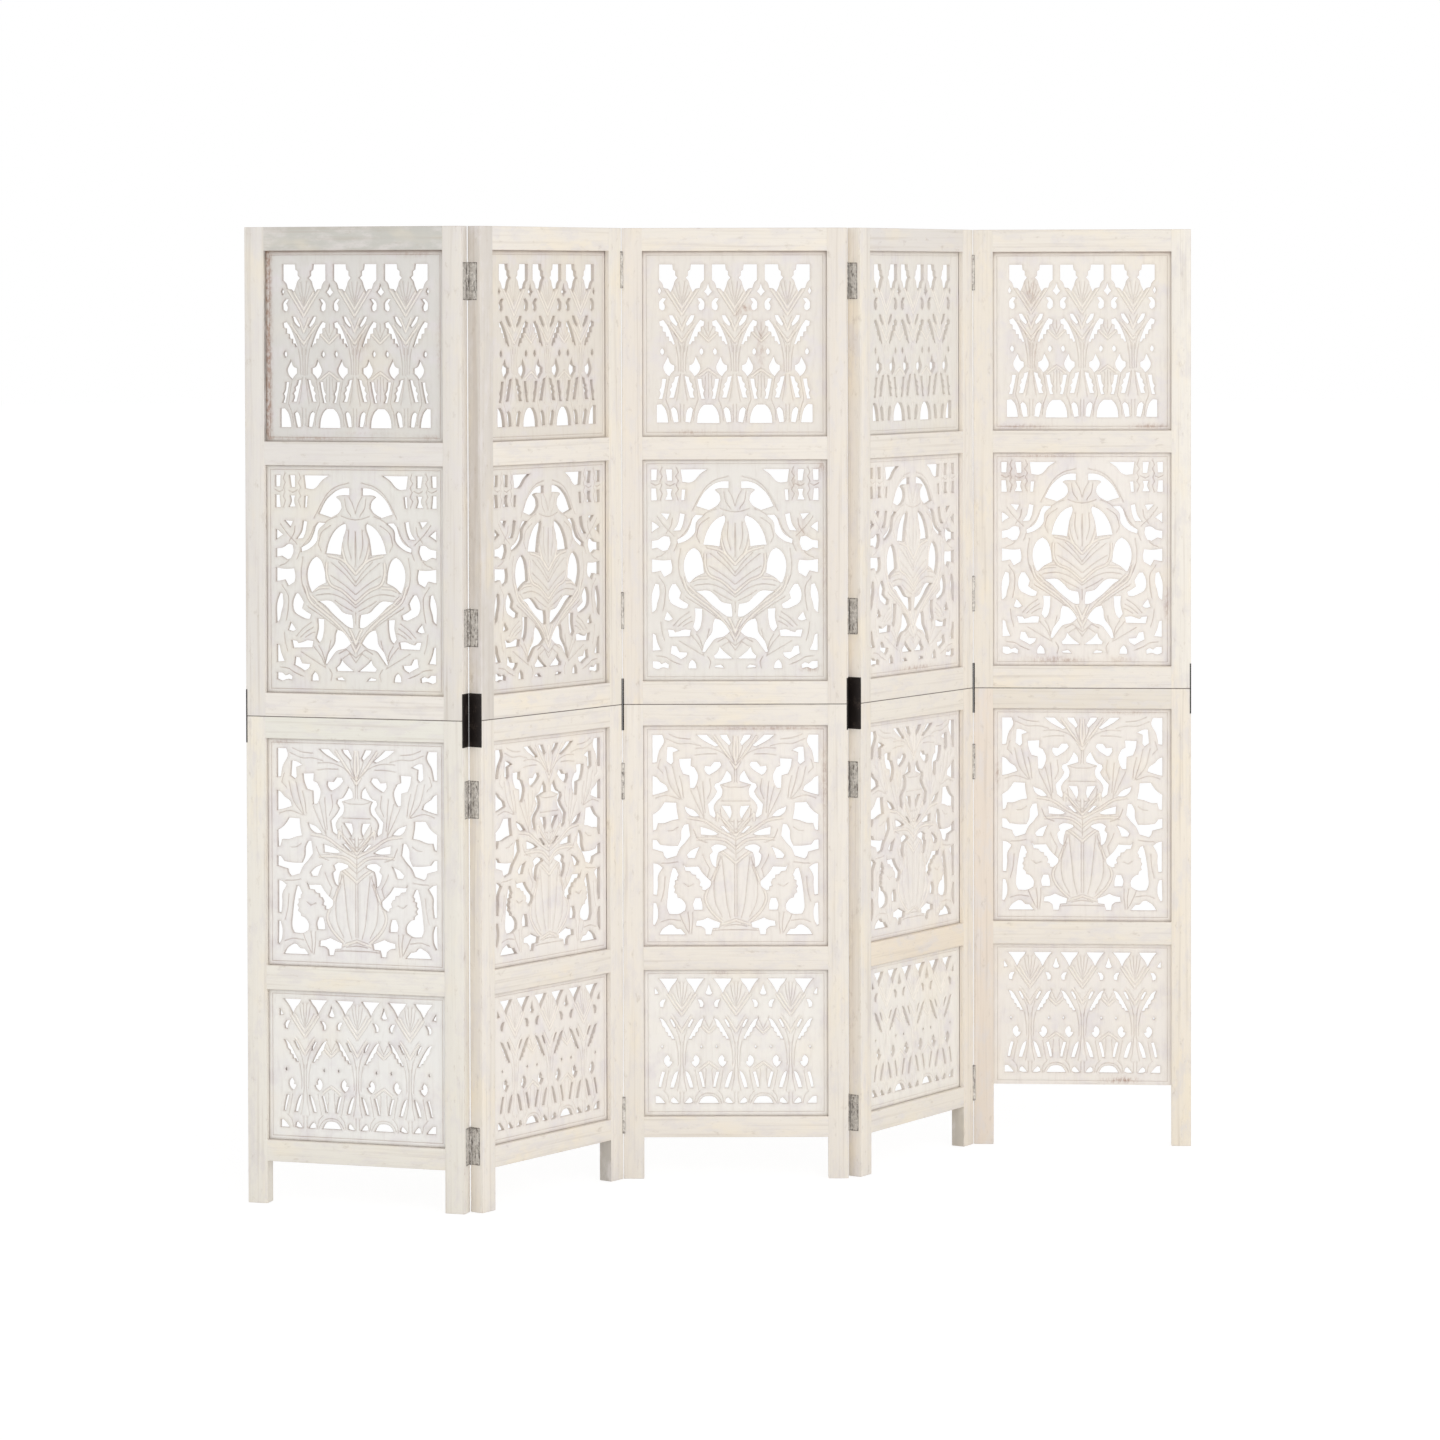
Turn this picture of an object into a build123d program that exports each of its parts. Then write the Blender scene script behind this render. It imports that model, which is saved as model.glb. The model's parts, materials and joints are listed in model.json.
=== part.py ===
from build123d import *
import os
from math import cos, radians

# Five-panel folding jali screen, in millimetres. Each panel is two framed halves stacked on a seam
# and joined at both long edges by steel plates. A panel's own frame has x across its width from the
# left, y into its depth from the front face and z up from the floor.

# Panel frame
panel_width = 390.0
frame_thickness = 25.0
stile_width = 35.0
groove_depth = 8.0

# Heights, from the floor up: feet, then rails and the windows between them
foot_height = 72.0
base_rail = 36.0
base_window = 255.0
knee_rail = 41.0
vase_window = 384.0
lower_seam_rail = 37.0
upper_seam_rail = 40.0
medallion_window = 384.0
lintel_rail = 40.0
crown_window = 321.0
top_rail = 40.0

# Carved boards
board_thickness = 8.0
board_face_clearance = 0.2
board_side_gap = 0.5
board_top_gap = 1.0

# Seam plates and hinge leaves are let in flush with the stiles' long edges
plate_thickness = 1.6
plate_height = 90.0
let_in_clearance = 0.1

# Hinges
panel_gap = 0.6
leaf_thickness = 1.5
leaf_width = 20.0
leaf_height = 63.0
barrel_radius = 2.8
pin_radius = 1.4
pin_clearance = 0.05
round_sides = 8
knuckle_gap = 0.3
axis_stand_off = 0.5
hinge_from_floor = 111.0
hinge_from_seam_below = 133.0
hinge_from_seam_above = (154.0, 163.0, 151.0, 170.0)
hinge_from_top = (92.0, 72.0, 92.0, 77.0)

# How far each fold is turned from flat as the screen stands
fold_turns = (71.0, 54.0, 57.0, 61.0)
base_rail_fitted = (True, True, True, True, False)

# Heights that follow
base_sill = foot_height + base_rail
knee_top = base_sill + base_window
vase_sill = knee_top + knee_rail
vase_top = vase_sill + vase_window
seam_height = vase_top + lower_seam_rail
medallion_sill = seam_height + upper_seam_rail
medallion_top = medallion_sill + medallion_window
crown_sill = medallion_top + lintel_rail
crown_top = crown_sill + crown_window
screen_height = crown_top + top_rail
hinge_heights = [
    (
        hinge_from_floor,
        seam_height - hinge_from_seam_below,
        seam_height + above_seam,
        screen_height - below_top,
    )
    for above_seam, below_top in zip(hinge_from_seam_above, hinge_from_top)
]

# Folds one and three close back to back, so their axes stand off the rear faces. Folds two and four
# close face to face, with their axes off the front.
rear_axis = frame_thickness + axis_stand_off
front_axis = -axis_stand_off
axis_depths = (rear_axis, front_axis, rear_axis, front_axis)
turn_signs = (1, -1, 1, -1)
swing_radius = barrel_radius + knuckle_gap

# The groove runs down the middle of the frame's thickness
groove_width = board_thickness + 2 * board_face_clearance
groove_front = (frame_thickness - groove_width) / 2
window_width = panel_width - 2 * stile_width
window_centre = panel_width / 2

os.makedirs("parts", exist_ok=True)


# Stiles -----------------------------------------------------------------------------------------
# A left stile, grooved along its inner edge from the base rail up. The right one mirrors it.


def stile_profile(grooved):
    """Add a left stile's section, with its groove open towards the window."""
    Rectangle(stile_width, frame_thickness, align=(Align.MIN, Align.MIN))
    if grooved:
        with Locations((stile_width, groove_front)):
            Rectangle(groove_depth, groove_width, align=(Align.MAX, Align.MIN), mode=Mode.SUBTRACT)


with BuildPart() as left_upper_stile:
    with BuildSketch(Plane.XY.offset(seam_height)):
        stile_profile(grooved=True)
    extrude(amount=screen_height - seam_height)

with BuildPart() as left_lower_stile:
    with BuildSketch(Plane.XY):
        stile_profile(grooved=False)
    extrude(amount=foot_height)
    with BuildSketch(Plane.XY.offset(foot_height)):
        stile_profile(grooved=True)
    extrude(amount=seam_height - foot_height)


def let_in(edge, outwards, fold):
    """Cut a long edge for its seam plate, for a fold's leaves and, at the corner, for their barrels."""
    with Locations((edge - outwards * plate_thickness / 2, frame_thickness / 2, seam_height)):
        Box(plate_thickness, frame_thickness, plate_height + 2 * let_in_clearance, mode=Mode.SUBTRACT)
    if fold not in range(len(fold_turns)):
        return
    mortise_height = leaf_height + 2 * let_in_clearance
    leaf_middle = axis_depths[fold] - turn_signs[fold] * (axis_stand_off + leaf_width / 2)
    for z in hinge_heights[fold]:
        with Locations((edge - outwards * leaf_thickness / 2, leaf_middle, z)):
            Box(leaf_thickness, leaf_width, mortise_height, mode=Mode.SUBTRACT)
        with Locations((edge + outwards * panel_gap / 2, axis_depths[fold], z)):
            Cylinder(swing_radius, mortise_height, mode=Mode.SUBTRACT)


def stile_pair(left_stile, panel):
    """Return the left and right stiles of one panel, counted from zero, as one group."""
    with BuildPart() as pair:
        add(left_stile)
        mirror(left_stile, about=Plane.YZ.offset(window_centre))
        let_in(edge=0, outwards=-1, fold=panel - 1)
        let_in(edge=panel_width, outwards=1, fold=panel)
    return pair.part


# Rails ------------------------------------------------------------------------------------------
# A rail is as thick as the frame. Its stub tenons fill the stiles' grooves, and it is grooved along
# each edge that holds a board.


def rail(sill, height, board_above, board_below):
    """Return one rail that stands on sill, grooved for the boards it holds."""
    tenon_low = sill + groove_depth * board_below
    tenon_high = sill + height - groove_depth * board_above
    middle = (window_centre, frame_thickness / 2)
    with BuildPart() as piece:
        with BuildSketch(Plane.XY.offset(sill)):
            with Locations(middle):
                Rectangle(window_width, frame_thickness)
        extrude(amount=height)
        with BuildSketch(Plane.XY.offset(tenon_low)):
            with Locations(middle):
                Rectangle(window_width + 2 * groove_depth, groove_width)
        extrude(amount=tenon_high - tenon_low)
        for grooved, low in ((board_below, sill), (board_above, tenon_high)):
            if grooved:
                with BuildSketch(Plane.XY.offset(low)):
                    with Locations(middle):
                        Rectangle(window_width, groove_width)
                extrude(amount=groove_depth, mode=Mode.SUBTRACT)
    return piece.part


upper_rails = (
    rail(seam_height, upper_seam_rail, board_above=True, board_below=False),
    rail(medallion_top, lintel_rail, board_above=True, board_below=True),
    rail(crown_top, top_rail, board_above=False, board_below=True),
)
lower_rails = (
    rail(foot_height, base_rail, board_above=True, board_below=False),
    rail(knee_top, knee_rail, board_above=True, board_below=True),
    rail(vase_top, lower_seam_rail, board_above=False, board_below=True),
)


# Pierced boards ---------------------------------------------------------------------------------
# Each pattern is drawn on a nominal window, with x from the centre line and z from the sill, and
# stretched to the window that it fills. Outlines with x below zero are mirrored to the other side.

nominal_width = 320.0
nominal_crown = 321.0
nominal_middle = 384.0
nominal_base = 255.0

# Crown and base: three fans side by side, drawn about the fan's own centre line
crown_pitch = 91.5
base_pitch = 94.5
crown_rows = {"bud": (257, 277, 298), "blade": (160, 202), "drop": (106, 135), "arch": (23, 54)}
base_rows = {"bud": (216, 230, 240), "blade": (134, 168), "drop": (84, 107), "arch": (20, 34)}
arch_foot, arch_crown = 19.5, 9.0


def fan_piercings(rows, pitch):
    """Return the piercings of a row of three fans at the given heights."""
    bud_low, bud_waist, bud_high = rows["bud"]
    blade_low, blade_high = rows["blade"]
    drop_low, drop_high = rows["drop"]
    arch_low, arch_high = rows["arch"]
    drop_middle = (drop_low + drop_high) / 2
    one_side = (
        ((-40, bud_high), (-14, bud_high), (-7, bud_waist), (-23, bud_low)),
        ((-35, blade_high), (-11, blade_low), (-18, blade_low)),
        ((-24, drop_high), (-14, drop_middle), (-20, drop_low), (-30, drop_middle)),
    )
    piercings = []
    for centre in (-pitch, 0, pitch):
        for outline in one_side:
            piercings.append([(centre + x, z) for x, z in outline])
            piercings.append([(centre - x, z) for x, z in outline])
    half_arch = ((0, arch_low), (arch_foot, arch_low), (arch_crown, arch_high), (0, arch_high))
    for side in (-1, 1):
        centre = side * pitch / 2
        piercings.append(
            [
                (centre - arch_foot, arch_low),
                (centre + arch_foot, arch_low),
                (centre + arch_crown, arch_high),
                (centre - arch_crown, arch_high),
            ]
        )
        piercings.append([(side * (1.5 * pitch - x), z) for x, z in half_arch])
    return piercings


def both_sides(outlines):
    """Return left-hand outlines together with their mirror images."""
    return [list(outline) for outline in outlines] + [[(-x, z) for x, z in o] for o in outlines]


# Medallion: a lotus bud in a keyhole arch, with vines in the lower corners
medallion_piercings = both_sides(
    (
        ((-92, 367), (-48, 367), (-72, 344), (-90, 345)),
        ((-67, 303), (-45, 339), (-11, 346), (-11, 334), (-26, 310)),
        ((-68, 288), (-55, 291), (-72, 250), (-98, 239)),
        ((-19, 288), (-26, 234), (-55, 236), (-44, 270)),
        ((-71, 231), (-87, 205), (-80, 170), (-54, 186)),
        ((-144, 243), (-112, 250), (-125, 226), (-144, 229)),
        ((-144, 211), (-111, 210), (-112, 187), (-126, 182)),
        ((-140, 168), (-131, 168), (-132, 132), (-142, 118)),
        ((-67, 155), (-45, 156), (-5, 130), (-6, 110)),
        ((-34, 108), (-9, 84), (-37, 72), (-56, 48)),
    )
)

# Vase: an urn of leaves between climbing flowers
vase_piercings = both_sides(
    (
        ((-144, 367), (-127, 367), (-136, 320), (-144, 318)),
        ((-98, 325), (-76, 324), (-64, 298), (-80, 276)),
        ((-144, 296), (-118, 272), (-144, 262)),
        ((-127, 250), (-103, 248), (-98, 221), (-138, 202), (-143, 238)),
        ((-84, 211), (-78, 186), (-116, 152), (-137, 168), (-97, 178)),
        ((-8, 304), (-7, 288), (-32, 266), (-46, 222), (-48, 246)),
        ((-91, 140), (-66, 138), (-43, 110), (-57, 98)),
        ((-110, 136), (-105, 90), (-88, 74), (-118, 56)),
        ((-66, 43), (-27, 40), (-51, 19), (-60, 33)),
        ((-134, 19), (-111, 37), (-87, 19)),
    )
)


def pierced_board(sill, window_height, nominal_height, piercings, tongue_below=groove_depth):
    """Return a board that fills the window above sill, with its piercings cut right through."""
    board_front = groove_front + board_face_clearance
    board_low = sill - tongue_below
    board_high = sill + window_height + groove_depth - board_top_gap
    across = window_width / nominal_width
    up = window_height / nominal_height
    with BuildPart() as board:
        with BuildSketch(Plane.XZ.offset(-board_front)):
            with Locations((window_centre, (board_low + board_high) / 2)):
                Rectangle(window_width + 2 * (groove_depth - board_side_gap), board_high - board_low)
            for outline in piercings:
                with BuildLine():
                    Polyline([(window_centre + x * across, sill + z * up) for x, z in outline], close=True)
                make_face(mode=Mode.SUBTRACT)
        extrude(amount=-board_thickness)
    return board.part


crown_piercings = fan_piercings(crown_rows, crown_pitch)
base_piercings = fan_piercings(base_rows, base_pitch)
crown_board = pierced_board(crown_sill, crown_window, nominal_crown, crown_piercings)
medallion_board = pierced_board(medallion_sill, medallion_window, nominal_middle, medallion_piercings)
vase_board = pierced_board(vase_sill, vase_window, nominal_middle, vase_piercings)
base_board = pierced_board(base_sill, base_window, nominal_base, base_piercings)
unrailed_base_board = pierced_board(
    base_sill, base_window, nominal_base, base_piercings, tongue_below=0
)


# Seam plates ------------------------------------------------------------------------------------
# One on each long edge, as wide as the edge, half above the seam and half below it.

with BuildPart() as edge_plates:
    for edge, inwards in ((0, 1), (panel_width, -1)):
        with BuildSketch(Plane.YZ.offset(edge)):
            with Locations((frame_thickness / 2, seam_height)):
                Rectangle(frame_thickness, plate_height)
        extrude(amount=inwards * plate_thickness)


# Hinges -----------------------------------------------------------------------------------------
# A hinge is made about its own axis with the panels flat, the leaves running towards -y. Its three
# knuckles and its pin are drawn with eight flats. The pin is fast in the outer knuckles, and runs in
# the middle one, whose bore clears the pin's corners all the way round.

knuckle_height = (leaf_height - 2 * knuckle_gap) / 3
outer_knuckle_centre = (leaf_height - knuckle_height) / 2
leaf_reach = axis_stand_off + leaf_width
running_radius = (pin_radius + pin_clearance) / cos(radians(180 / round_sides))


def leaf(side, knuckle_centres, notch_centres, bore_radius):
    """Return a leaf on the given side of the gap, notched where the other leaf's knuckles turn."""
    notch_height = knuckle_height + 2 * knuckle_gap
    with BuildPart() as piece:
        with Locations((side * (panel_gap + leaf_thickness) / 2, -leaf_reach / 2)):
            Box(leaf_thickness, leaf_reach, leaf_height)
        with Locations(*[(0, 0, z) for z in notch_centres]):
            Box(2 * swing_radius, 2 * swing_radius, notch_height, mode=Mode.SUBTRACT)
        for z in knuckle_centres:
            with BuildSketch(Plane.XY.offset(z)):
                RegularPolygon(barrel_radius, round_sides)
            extrude(amount=knuckle_height / 2, both=True)
            with BuildSketch(Plane.XY.offset(z)):
                RegularPolygon(bore_radius, round_sides)
            extrude(amount=knuckle_height / 2, both=True, mode=Mode.SUBTRACT)
    return piece.part


outer_centres = (-outer_knuckle_centre, outer_knuckle_centre)
outer_leaf = leaf(-1, outer_centres, (0,), pin_radius)
middle_leaf = leaf(1, (0,), outer_centres, running_radius)

with BuildPart() as hinge_pin:
    with BuildSketch():
        RegularPolygon(pin_radius, round_sides)
    extrude(amount=leaf_height / 2, both=True)


# Standing pose ----------------------------------------------------------------------------------
# The middle panel stands square to the axes, and the others follow from it, fold by fold.


def next_place(place, fold, forwards):
    """Return where the panel across a fold stands, given the panel before it."""
    right, left = panel_width + panel_gap / 2, -panel_gap / 2
    near, far = (right, left) if forwards else (left, right)
    turn = fold_turns[fold] * turn_signs[fold] * (1 if forwards else -1)
    depth = axis_depths[fold]
    axis = place * Location((near, depth, 0))
    return axis * Location((0, 0, 0), (0, 0, turn)) * Location((-far, -depth, 0))


middle_place = Location((0, 0, 0))
second_place = next_place(middle_place, 1, forwards=False)
first_place = next_place(second_place, 0, forwards=False)
fourth_place = next_place(middle_place, 2, forwards=True)
fifth_place = next_place(fourth_place, 3, forwards=True)
loose_places = (first_place, second_place, middle_place, fourth_place, fifth_place)

# The footprint gives the middle of the floor that the screen covers, which becomes the origin
with BuildSketch() as footprint:
    for number, place in enumerate(loose_places):
        with Locations(place * Location((window_centre, frame_thickness / 2, 0))):
            Rectangle(panel_width, frame_thickness)
        if number < len(fold_turns):
            with Locations(place * Location((panel_width + panel_gap / 2, axis_depths[number], 0))):
                Circle(barrel_radius)
floor_middle = footprint.sketch.bounding_box().center()
to_origin = Location((-floor_middle.X, -floor_middle.Y, 0))
panel_places = [to_origin * place for place in loose_places]
fold_places = [
    place * Location((panel_width + panel_gap / 2, depth, 0))
    for place, depth in zip(panel_places, axis_depths)
]


# Named pieces -----------------------------------------------------------------------------------


def write_node(name, pieces, places):
    """Write each piece at each place, as one named group of separate solids."""
    with BuildPart() as node:
        with Locations(*places):
            for piece in pieces:
                add(piece)
    node.part.label = name
    export_step(node.part, f"parts/{name}.step")


for panel, place in enumerate(panel_places):
    number = panel + 1
    has_base_rail = base_rail_fitted[panel]
    write_node(f"upper_stiles_{number}", [stile_pair(left_upper_stile.part, panel)], [place])
    write_node(f"lower_stiles_{number}", [stile_pair(left_lower_stile.part, panel)], [place])
    write_node(f"upper_rails_{number}", upper_rails, [place])
    write_node(f"lower_rails_{number}", lower_rails if has_base_rail else lower_rails[1:], [place])
    write_node(f"crown_board_{number}", [crown_board], [place])
    write_node(f"medallion_board_{number}", [medallion_board], [place])
    write_node(f"vase_board_{number}", [vase_board], [place])
    write_node(f"base_board_{number}", [base_board if has_base_rail else unrailed_base_board], [place])
    write_node(f"seam_plates_{number}", [edge_plates.part], [place])

for fold, place in enumerate(fold_places):
    # A valley fold's hinges are turned over end for end, and then close the other way. Seen along
    # its own axis a hinge always closes the same way, carrying its middle leaf round.
    number = fold + 1
    turned_over = 0 if turn_signs[fold] > 0 else 180
    fast = [place * Location((0, 0, z), (turned_over, 0, 0)) for z in hinge_heights[fold]]
    turned = [
        place * Location((0, 0, z), (turned_over, 0, fold_turns[fold])) for z in hinge_heights[fold]
    ]
    write_node(f"outer_hinge_leaves_{number}", [outer_leaf], fast)
    write_node(f"middle_hinge_leaves_{number}", [middle_leaf], turned)
    write_node(f"hinge_pins_{number}", [hinge_pin.part], fast)
    print(f"fold_{number} axis at x {place.position.X:.4f} y {place.position.Y:.4f}")

print("screen height", screen_height, "footprint", footprint.sketch.bounding_box().size)
for number, place in enumerate(panel_places, start=1):
    x, y, yaw = place.position.X, place.position.Y, place.orientation.Z
    print(f"panel_{number} at x {x:.4f} y {y:.4f} yaw {yaw:.4f}")
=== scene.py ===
# %% [markdown]
# # A folding screen of carved, painted wood
# Five narrow panels stand in a zigzag, hinged edge to edge. Each panel is two framed halves, one
# standing on the other, and each half holds two fretted boards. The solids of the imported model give
# every place and size. This script dresses them: it carves the boards, eases the frame's edges,
# adds screws and rounds the hinges, and gives each part its finish.

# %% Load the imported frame
import json
import math

import bmesh
import bpy
import numpy as np
from mathutils import Matrix, Vector, kdtree, noise
from mathutils.geometry import delaunay_2d_cdt


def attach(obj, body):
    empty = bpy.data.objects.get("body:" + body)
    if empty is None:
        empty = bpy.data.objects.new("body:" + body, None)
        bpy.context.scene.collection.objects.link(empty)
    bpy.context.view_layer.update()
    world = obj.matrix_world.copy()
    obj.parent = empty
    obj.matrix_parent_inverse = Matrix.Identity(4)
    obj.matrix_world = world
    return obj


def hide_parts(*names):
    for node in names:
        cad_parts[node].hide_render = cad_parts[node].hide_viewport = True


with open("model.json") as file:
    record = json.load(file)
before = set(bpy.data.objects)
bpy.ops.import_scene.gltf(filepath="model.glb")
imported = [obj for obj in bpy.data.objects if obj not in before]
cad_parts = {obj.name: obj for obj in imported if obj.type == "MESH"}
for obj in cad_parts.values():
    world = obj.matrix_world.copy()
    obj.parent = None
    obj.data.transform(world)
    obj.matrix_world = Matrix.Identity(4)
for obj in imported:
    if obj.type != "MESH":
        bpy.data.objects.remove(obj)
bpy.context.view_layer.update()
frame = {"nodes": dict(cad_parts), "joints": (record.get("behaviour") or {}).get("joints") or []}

# %% [markdown]
# ## Where the panels stand
# A carver draws a board flat on the bench. So everything here is drawn in a panel's own frame, in
# millimetres: u runs across the panel from its left edge, v goes back from its front face, and z is
# up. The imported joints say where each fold's axis is, and with how far each fold is turned that is
# enough to stand each panel in its place.

# %% Panel frames
MM = 0.001
PANELS = (1, 2, 3, 4, 5)
FOLDS = (1, 2, 3, 4)
panel_width = 390.0
frame_thickness = 25.0
stile_width = 35.0
seam_height = 825.0
panel_gap = 0.6
axis_stand_off = 0.5
fold_turn = {1: 71.0, 2: 54.0, 3: 57.0, 4: 61.0}

joints = {joint["name"]: joint for joint in frame["joints"]}
panel_yaw = {3: 0.0}
panel_yaw[2] = panel_yaw[3] + fold_turn[2]
panel_yaw[1] = panel_yaw[2] - fold_turn[1]
panel_yaw[4] = panel_yaw[3] + fold_turn[3]
panel_yaw[5] = panel_yaw[4] - fold_turn[4]

right_axis = panel_width + panel_gap / 2
left_axis = -panel_gap / 2
rear_axis = frame_thickness + axis_stand_off
front_axis = -axis_stand_off
held_at = {
    1: (1, right_axis, rear_axis),
    2: (2, right_axis, front_axis),
    3: (2, left_axis, front_axis),
    4: (3, left_axis, rear_axis),
    5: (4, left_axis, front_axis),
}


def fold_axis(fold):
    """Return a point on a fold's axis at floor level, in metres."""
    x, y, _ = joints[f"fold_{fold}"]["pos_m"]
    return Vector((x, y, 0))


def turned(degrees, axis="Z"):
    """Return a turn about an axis through the origin."""
    return Matrix.Rotation(math.radians(degrees), 4, axis)


def panel_frame(panel):
    """Return the matrix that takes metres in a panel's frame to the object's frame."""
    fold, u, v = held_at[panel]
    back = Matrix.Translation((-u * MM, -v * MM, 0))
    return Matrix.Translation(fold_axis(fold)) @ turned(panel_yaw[panel]) @ back


stand = {panel: panel_frame(panel) for panel in PANELS}
for panel in PANELS:
    corner = stand[panel] @ Vector((0, 0, 0))
    print(f"panel {panel}: corner at {corner.x:.4f}, {corner.y:.4f}, turned {panel_yaw[panel]:.1f}")

# %% [markdown]
# ## Camera, light and floor
# A long lens from about eight metres keeps the uprights nearly parallel. The light is a plain, pale
# room with a broad lamp in front and a weaker one at each side, more on the right, so a colour
# comes out about as it is written, and the recessed boards still get a soft shade under each rail.
# The background is white only to rays that look at it, so it adds no light to the wood.


# %% Camera
def linked(name, data):
    """Put some data into the scene as an object."""
    made = bpy.data.objects.new(name, data)
    bpy.context.scene.collection.objects.link(made)
    return made


camera_place = Vector((-0.011825, -8.426993, 1.535832))
camera_heading = math.radians(-0.0735)
camera_pitch = math.radians(1.3045)
camera_roll = math.radians(-0.1280)
lens_length = 121.511
lens_shift = -0.219049
sensor_width = 36.0

level = math.cos(camera_pitch)
forward = Vector((
    math.sin(camera_heading) * level,
    math.cos(camera_heading) * level,
    -math.sin(camera_pitch),
))
level_right = Vector((math.cos(camera_heading), -math.sin(camera_heading), 0))
level_up = level_right.cross(forward)
right = math.cos(camera_roll) * level_right + math.sin(camera_roll) * level_up
up = right.cross(forward)

camera_data = bpy.data.cameras.new("camera")
camera_data.lens = lens_length
camera_data.sensor_width = sensor_width
camera_data.shift_y = lens_shift
camera = linked("camera", camera_data)
axes = Matrix((right, up, -forward)).transposed().to_4x4()
camera.matrix_world = Matrix.Translation(camera_place) @ axes
bpy.context.scene.camera = camera
bpy.context.scene.view_settings.view_transform = "Standard"
print("camera at", tuple(round(value, 3) for value in camera_place))


# %% [markdown]
# ## Writing materials as sums
# A finish is easier to read as a sum than as a drawing of nodes. `Wire` wraps one socket, so adding
# or multiplying two of them adds the Math node that does it. `Finish` makes a material and any other
# node, from its type, its settings and what its sockets get, and lays its colours over one another.


# %% Nodes of any tree
def give(tree, socket, value):
    """Link a socket where the value comes from a node, or else set it."""
    if isinstance(value, Wire):
        value = value.socket
    if isinstance(value, bpy.types.NodeSocket):
        tree.links.new(value, socket)
    else:
        socket.default_value = value


def add_node(tree, kind, settings=None, inputs=None):
    """Add a node to a tree, with its settings and what its input sockets get."""
    made = tree.nodes.new(kind)
    for setting, value in (settings or {}).items():
        setattr(made, setting, value)
    for socket, value in (inputs or {}).items():
        give(tree, made.inputs[socket], value)
    return made


# %% The two helpers for finishes
class Wire:
    """One output socket of a finish, which takes part in sums."""

    def __init__(self, finish, socket):
        self.finish = finish
        self.socket = socket

    def sum(self, operation, *values):
        settings = {"operation": operation}
        return self.finish.node("ShaderNodeMath", settings, dict(enumerate(values)))

    def __add__(self, other):
        return self.sum("ADD", self, other)

    def __sub__(self, other):
        return self.sum("SUBTRACT", self, other)

    def __rsub__(self, other):
        return self.sum("SUBTRACT", other, self)

    def __mul__(self, other):
        return self.sum("MULTIPLY", self, other)

    __radd__ = __add__
    __rmul__ = __mul__

    def least(self, other):
        return self.sum("MINIMUM", self, other)

    def most(self, other):
        return self.sum("MAXIMUM", self, other)

    def between(self, low, high):
        """Return 0 below low, 1 above high and an eased value between them."""
        settings = {"interpolation_type": "SMOOTHSTEP"}
        return self.finish.node("ShaderNodeMapRange", settings, {0: self, 1: low, 2: high})


class Finish:
    """A material on a Principled shader, with one method for every other node."""

    def __init__(self, name, **values):
        self.material = bpy.data.materials.new(name)
        self.material.use_nodes = True
        self.tree = self.material.node_tree
        self.shader = self.tree.nodes["Principled BSDF"]
        self.look(**values)

    def look(self, **values):
        """Give the shader's sockets their values or wires, such as base_color=..."""
        for socket, value in values.items():
            give(self.tree, self.shader.inputs[socket.replace("_", " ").title()], value)

    def node(self, kind, settings=None, inputs=None, output=0):
        return Wire(self, add_node(self.tree, kind, settings, inputs).outputs[output])

    def attribute(self, name, output="Fac"):
        return self.node("ShaderNodeAttribute", {"attribute_name": name}, output=output)

    def noise(self, where, scale, detail=3.0, roughness=0.55):
        """Return a noise of one scale, or of three where it is drawn out along an axis."""
        if isinstance(scale, tuple):
            where = self.node("ShaderNodeVectorMath", {"operation": "MULTIPLY"}, {0: where, 1: scale})
            scale = 1.0
        inputs = {"Vector": where, "Scale": scale, "Detail": detail, "Roughness": roughness}
        return self.node("ShaderNodeTexNoise", inputs=inputs)

    def axis(self, vector, number):
        return self.node("ShaderNodeSeparateXYZ", inputs={0: vector}, output=number)

    def layered(self, under, *layers):
        """Lay colours over one another, each by its own share."""
        for share, over in layers:
            inputs = {0: share, 6: under, 7: over}
            under = self.node("ShaderNodeMix", {"data_type": "RGBA"}, inputs, output=2)
        return under

    def bump(self, height, distance, strength=1.0):
        inputs = {"Strength": strength, "Distance": distance, "Height": height}
        return self.node("ShaderNodeBump", inputs=inputs)


def colour(red, green, blue):
    """Return the linear colour of an 8-bit display colour."""
    shares = (red / 255, green / 255, blue / 255)
    linear = [s / 12.92 if s <= 0.04045 else ((s + 0.055) / 1.055) ** 2.4 for s in shares]
    return (*linear, 1.0)


print("cream paint in linear values:", [round(v, 3) for v in colour(236, 228, 217)])

# %% Room light and background
white_light = (1.0, 1.0, 1.0, 1.0)
room_level = 0.75
backdrop_level = 1.0
world = bpy.data.worlds.new("pale_room")
bpy.context.scene.world = world
world.use_nodes = True
sky = world.node_tree
sky.nodes.clear()
rays = add_node(sky, "ShaderNodeLightPath").outputs
seen = rays["Is Camera Ray"]
for ray in ("Is Glossy Ray", "Is Transmission Ray"):
    seen = add_node(sky, "ShaderNodeMath", {"operation": "MAXIMUM"}, {0: seen, 1: rays[ray]}).outputs[0]
light, backdrop = (
    add_node(sky, "ShaderNodeBackground", inputs={"Color": white_light, "Strength": level}).outputs[0]
    for level in (room_level, backdrop_level)
)
either = add_node(sky, "ShaderNodeMixShader", inputs={0: seen, 1: light, 2: backdrop})
add_node(sky, "ShaderNodeOutputWorld", inputs={"Surface": either.outputs[0]})
print("room level", room_level)

# %% Lamps
lamps_aim = Vector((0, 0, 0.9))
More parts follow.
